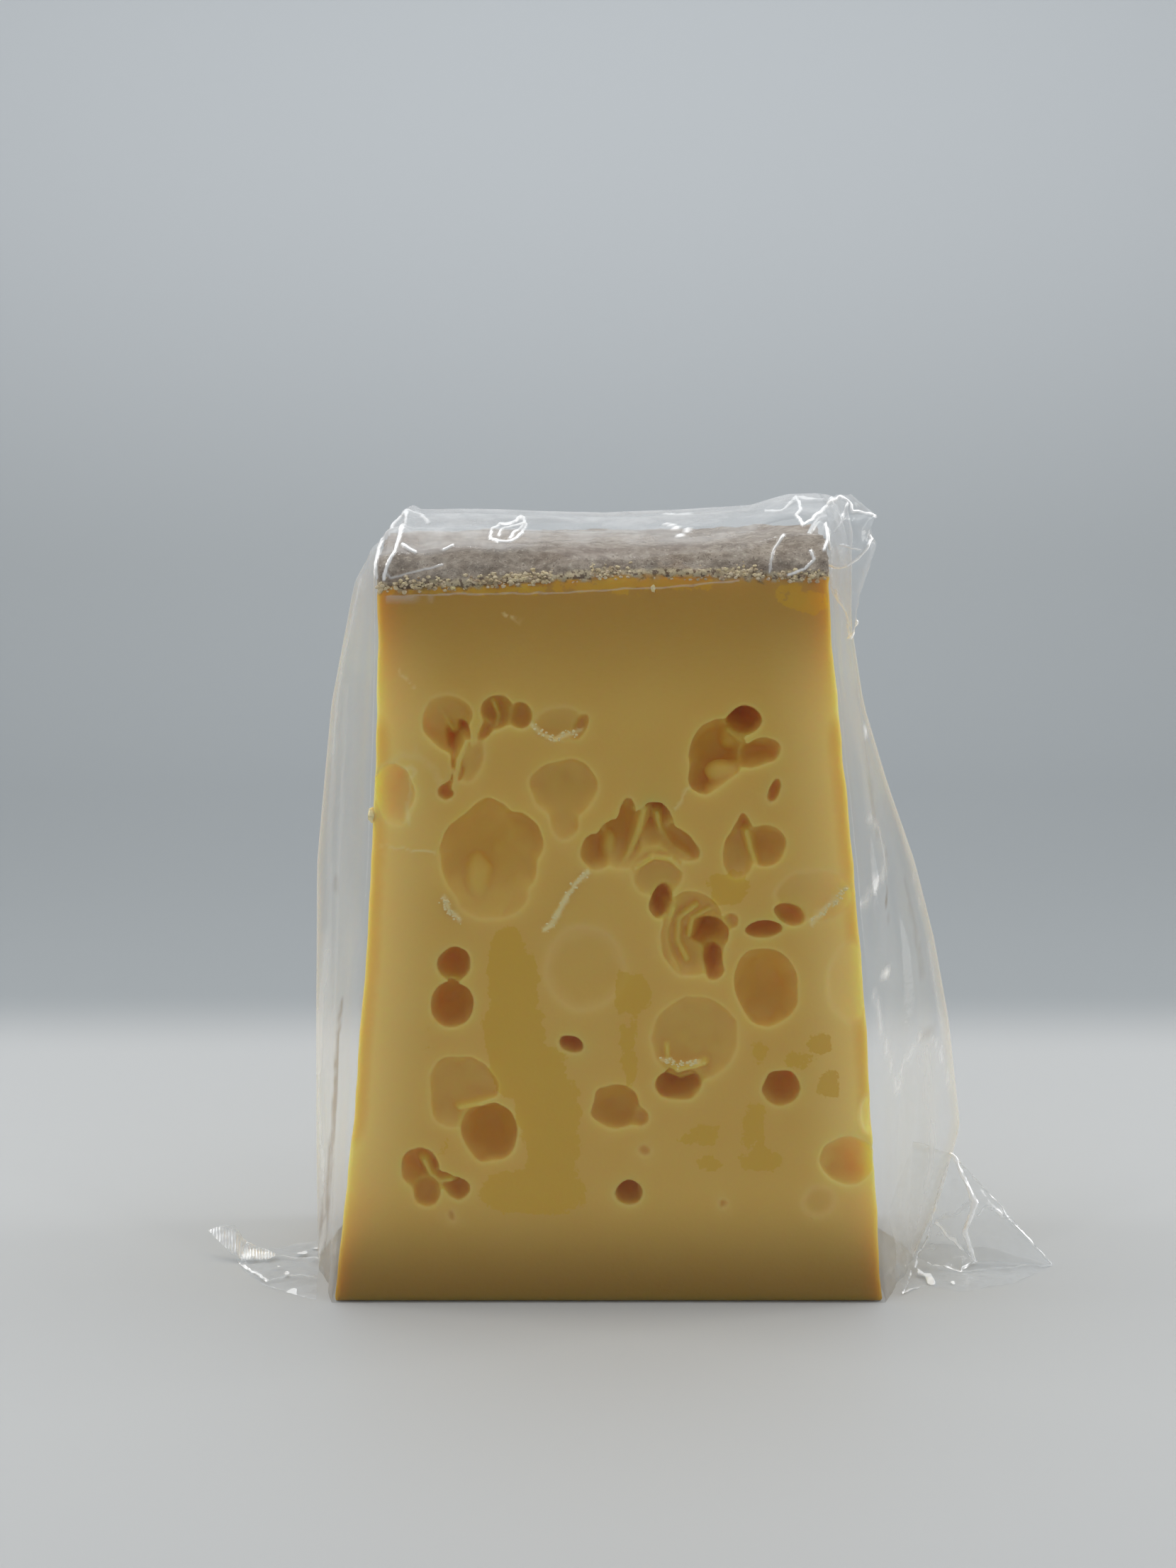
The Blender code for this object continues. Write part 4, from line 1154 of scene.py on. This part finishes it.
LEFT_TRIANGLES = (
    "T U1 V1", "U1 U2 V1", "U2 V2 V1", "U2 U3 V2", "U3 V3 V2", "U3 U4 V3", "U4 W1 V3", "V3 W1 X1",
    "V2 V3 X1", "W1 X3 X1", "X1 X3 X2", "W1 W2 X3", "W2 Y3 X3", "X3 Y3 X2", "X2 Y3 Y1", "W2 Y2 Y3",
    "V2 X1 Z1", "Z1 X1 X2", "Z1 X2 Z2", "Z2 X2 Y1", "U4 Z4 W1", "W1 Z4 Z3", "W1 Z3 W2", "W2 Z3 Y2",
    "U3 Z4 U4",
)
LEFT_CREASES = (
    ("T U1 U2 U3 U4 W1", 0.22, 0.35), ("V2 X1 X2", 0.34, 0.95), ("W1 W2 Y2", 0.24, 0.45),
    ("X2 X3 Y3", 0.26, 0.3), ("Z2 Y1", 0.26, 0.35),
)
# Milky clouds of the seal strip, partly a painted sheen: named points, half width, strength
LEFT_CLOUDS = (("T S1 S2", 1.7, 0.62), ("S2 S3 S4", 1.3, 0.9))
EAR_STEPS = 40
RIB_PITCH = 0.66


def net_patch(points, triangles, steps):
    """A dense net over flat triangles, welded where they meet."""
    spots, faces = [], []
    for triangle in triangles:
        a, b, c = (np.array(points[name]) for name in triangle.split())
        index = {}
        for i in range(steps + 1):
            for j in range(steps + 1 - i):
                index[i, j] = len(spots)
                spots.append(a + (b - a) * i / steps + (c - a) * j / steps)
        for i, j in index:
            if i + j < steps:
                faces.append((index[i, j], index[i + 1, j], index[i, j + 1]))
            if i + j < steps - 1:
                faces.append((index[i + 1, j], index[i + 1, j + 1], index[i, j + 1]))
    spots = np.array(spots)
    _, first, welded = np.unique(np.round(spots, 3), axis=0, return_index=True, return_inverse=True)
    faces = welded.ravel()[np.array(faces)]
    a, b, c = faces.T
    return spots[first], faces[(a != b) & (b != c) & (a != c)]


def corner_normals(points, faces):
    a, b, c = (points[faces[:, k]] for k in range(3))
    each = np.cross(b - a, c - a)
    normals = np.zeros_like(points)
    for k in range(3):
        np.add.at(normals, faces[:, k], each)
    return normals / np.maximum(np.linalg.norm(normals, axis=1, keepdims=True), 1e-9)


def named_share(points, named, lines):
    """How close each point is to lines that run through named points."""
    lines = [([named[corner] for corner in corners.split()], width, strength)
             for corners, width, strength in lines]
    return crease_share(points, lines, 0.5, (0, 1, 2))


def make_ear(name, named, triangles, creases, clouds, seed, ribbed):
    points, faces = net_patch(named, triangles, EAR_STEPS)
    crease = named_share(points, named, creases)
    cloud = named_share(points, named, clouds)
    x, y, z = points.T
    rumple = layered(x, y, z, ((0.45, 4.5, seed), (0.22, 1.6, seed + 1), (0.08, 0.8, seed + 2)))
    glint = smooth_step(0.62, 0.72, value_noise(x, y * 0.6, z, 2.3, seed + 3))
    panels = smooth_step(-0.15, 0.15, value_noise(x, y, z, 7.0, seed + 4))
    # Haze: milky film, with a painted sheen on the facets
    haze = 0.05 + 0.09 * panels + 0.10 * rumple
    if ribbed:
        rib = 0.5 + 0.5 * np.sin(2 * math.pi * (x + 0.12 * y) / RIB_PITCH)
        rumple = rumple + 0.12 * rib * cloud
        cloud = cloud * (0.45 + 0.55 * rib)
        crease = np.maximum(crease, 0.8 * cloud)
        glint = glint * (x > -75.0) * (x < -64.0)
    else:
        cloud = cloud * (0.7 + 0.6 * value_noise(x, y, z, 1.4, seed + 5))
        glint = glint * (z < 4.0) * (x < 74.0)
    crease = np.maximum(crease, 0.9 * glint)
    points = points + corner_normals(points, faces) * (rumple + 0.18 * crease)[:, None]
    points[:, 2] = np.maximum(points[:, 2], FILM_FLOOR)
    film_piece(name, points, faces.tolist(), haze=np.clip(haze + cloud, 0.02, 1.0), crease=crease)


def film_material():
    """Clear film: see-through and glossy, milky where it is hazy or creased and where it is seen edge-on,
    which paints a sheen; the creases are painted brighter than white as highlights.
    """
    nodes = Nodes("clear_film")
    crease = nodes.attribute("crease")
    slant = nodes.add("LayerWeight", {"Blend": 0.5}, "Facing")
    cloudy = nodes.ramp(nodes.noise(6.0, stretch=(1.0, 1.0, 0.25)), 0.3, 0.75, 0.6, 1.2)
    milky = nodes.times(nodes.attribute("haze"), cloudy)
    # whiter where the film is seen edge-on: a painted sheen
    milky = nodes.plus(milky, nodes.times(nodes.math("POWER", slant, 3.0), 0.16))
    milky = nodes.plus(milky, crease, clamp=True)
    shine = nodes.plus(nodes.times(nodes.math("POWER", slant, 4.0), 0.45), 0.025)
    shine = nodes.plus(shine, nodes.times(crease, 0.4), clamp=True)
    # painted shade and reflection of the cheese: the film is tinted tan along its darker folds
    tint = nodes.mix(nodes.attribute("shade"), CLEAR_TINT, rgb(196, 180, 160))
    # creases painted brighter than white as highlights
    white = nodes.add("BsdfDiffuse", {"Color": nodes.mix(crease, FILM_WHITE, CREASE_WHITE)})
    through = nodes.add("BsdfTranslucent", {"Color": FILM_WHITE})
    gloss = nodes.add("BsdfGlossy", {
        "Color": (1.0, 1.0, 1.0, 1.0),
        "Roughness": nodes.plus(nodes.times(crease, 0.14), 0.08),
        "Normal": nodes.bump(nodes.noise(1.6), 0.12, 0.5),
    })
    clear = nodes.add("BsdfTransparent", {"Color": tint})
    body = nodes.blend(milky, clear, nodes.blend(0.3, white, through))
    nodes.finished(nodes.blend(shine, body, gloss))


def make_film():
    film_material()
    make_cover()
    make_flap()
    make_ear("film_ear_right", RIGHT_POINTS, RIGHT_TRIANGLES, RIGHT_CREASES, RIGHT_CLOUDS,
             81, False)
    make_ear("film_ear_left", LEFT_POINTS, LEFT_TRIANGLES, LEFT_CREASES, LEFT_CLOUDS, 91, True)


# Stage: a floor that sweeps up into a wall, painted darker some way behind the object and paler up the
# wall as painted light and shade
FLOOR_HALF_WIDTH = 1500.0
FLOOR_FRONT = -900.0
SWEEP_START = 500.0
SWEEP_RADIUS = 400.0
SWEEP_TOP = 900.0
SWEEP_STEPS = 40

# Lights: place, aim, width, height, power in watts, and colour where it isn't white
WHITE = (1.0, 1.0, 1.0)
WARM = (1.0, 0.99, 0.97)
LIGHTS = (
    ("overhead", (0, 60, 620), (0, 10, 0), 700, 420, 1.82),
    ("left", (-520, 40, 330), (0, 0, 80), 160, 420, 0.9, WARM),
    ("right", (520, 60, 330), (0, 0, 80), 160, 420, 0.9, WARM),
    ("wall", (0, 480, 760), (0, 900, 480), 1800, 300, 4.0),
    ("strip", (-150, -160, 520), (0, 0, 90), 16, 360, 0.18),
    ("low", (-430, -40, 112), (0, -5, 60), 120, 190, 0.15),
    ("strip", (150, -160, 520), (0, 0, 90), 16, 360, 0.18),
    ("low", (430, -40, 112), (0, -5, 60), 120, 190, 0.15),
)


def stage_colour(nodes):
    """Pale near the object, grey from just behind it, and paler again up the wall: painted light and shade
    of the stage.
    """
    back, up = nodes.place("Y"), nodes.place("Z")
    far = nodes.mix(nodes.ramp(back, 0.30, 0.75), rgb(158, 163, 166), rgb(169, 174, 177))
    wall = nodes.mix(nodes.ramp(up, 0.015, 0.105), rgb(177, 182, 185), rgb(189, 194, 198))
    wall = nodes.mix(nodes.ramp(up, 0.10, 0.35), wall, rgb(196, 201, 205))
    behind = nodes.mix(nodes.ramp(back, 0.70, 0.90), far, wall)
    return nodes.mix(nodes.ramp(back, 0.142, 0.206), rgb(193, 195, 196), behind)


def make_stage():
    profile = [(FLOOR_FRONT, 0.0)]
    for angle in np.linspace(0.0, math.pi / 2, SWEEP_STEPS + 1):
        profile.append((SWEEP_START + SWEEP_RADIUS * math.sin(angle),
                        SWEEP_RADIUS * (1.0 - math.cos(angle))))
    profile.append((SWEEP_START + SWEEP_RADIUS, SWEEP_TOP))
    points = [(side * FLOOR_HALF_WIDTH, y, z) for y, z in profile for side in (-1.0, 1.0)]
    faces = [(2 * k, 2 * k + 1, 2 * k + 3, 2 * k + 2) for k in range(len(profile) - 1)]
    stage = mesh_piece("stage", points, faces)
    stage.data.shade_smooth()
    nodes = Nodes("stage")
    shader = nodes.add("BsdfPrincipled", {"Base Color": stage_colour(nodes), "Roughness": 0.6})
    stage.data.materials.append(nodes.finished(shader))


def area_light(name, place, target, width, height, power, colour=WHITE):
    data = bpy.data.lights.new(name, "AREA")
    data.shape = "RECTANGLE"
    data.size = width * MM
    data.size_y = height * MM
    data.energy = power
    data.color = colour
    light = bpy.data.objects.new(name, data)
    light.location = Vector(place) * MM
    light.rotation_euler = (Vector(target) - Vector(place)).to_track_quat("-Z", "Y").to_euler()
    bpy.context.scene.collection.objects.link(light)


def make_light():
    world = bpy.data.worlds.new("room")
    bpy.context.scene.world = world
    world.use_nodes = True
    background = world.node_tree.nodes["Background"]
    background.inputs["Color"].default_value = (0.93, 0.97, 1.0, 1.0)
    background.inputs["Strength"].default_value = 0.30
    for light in LIGHTS:
        area_light(*light)


def render_look():
    scene = bpy.context.scene
    scene.view_settings.view_transform = "Standard"
    scene.view_settings.look = "None"
    scene.cycles.use_denoising = True
    scene.cycles.transparent_max_bounces = 24


make_camera()
make_stage()
make_light()
render_look()
make_cheese()
make_crumbs()
make_film()
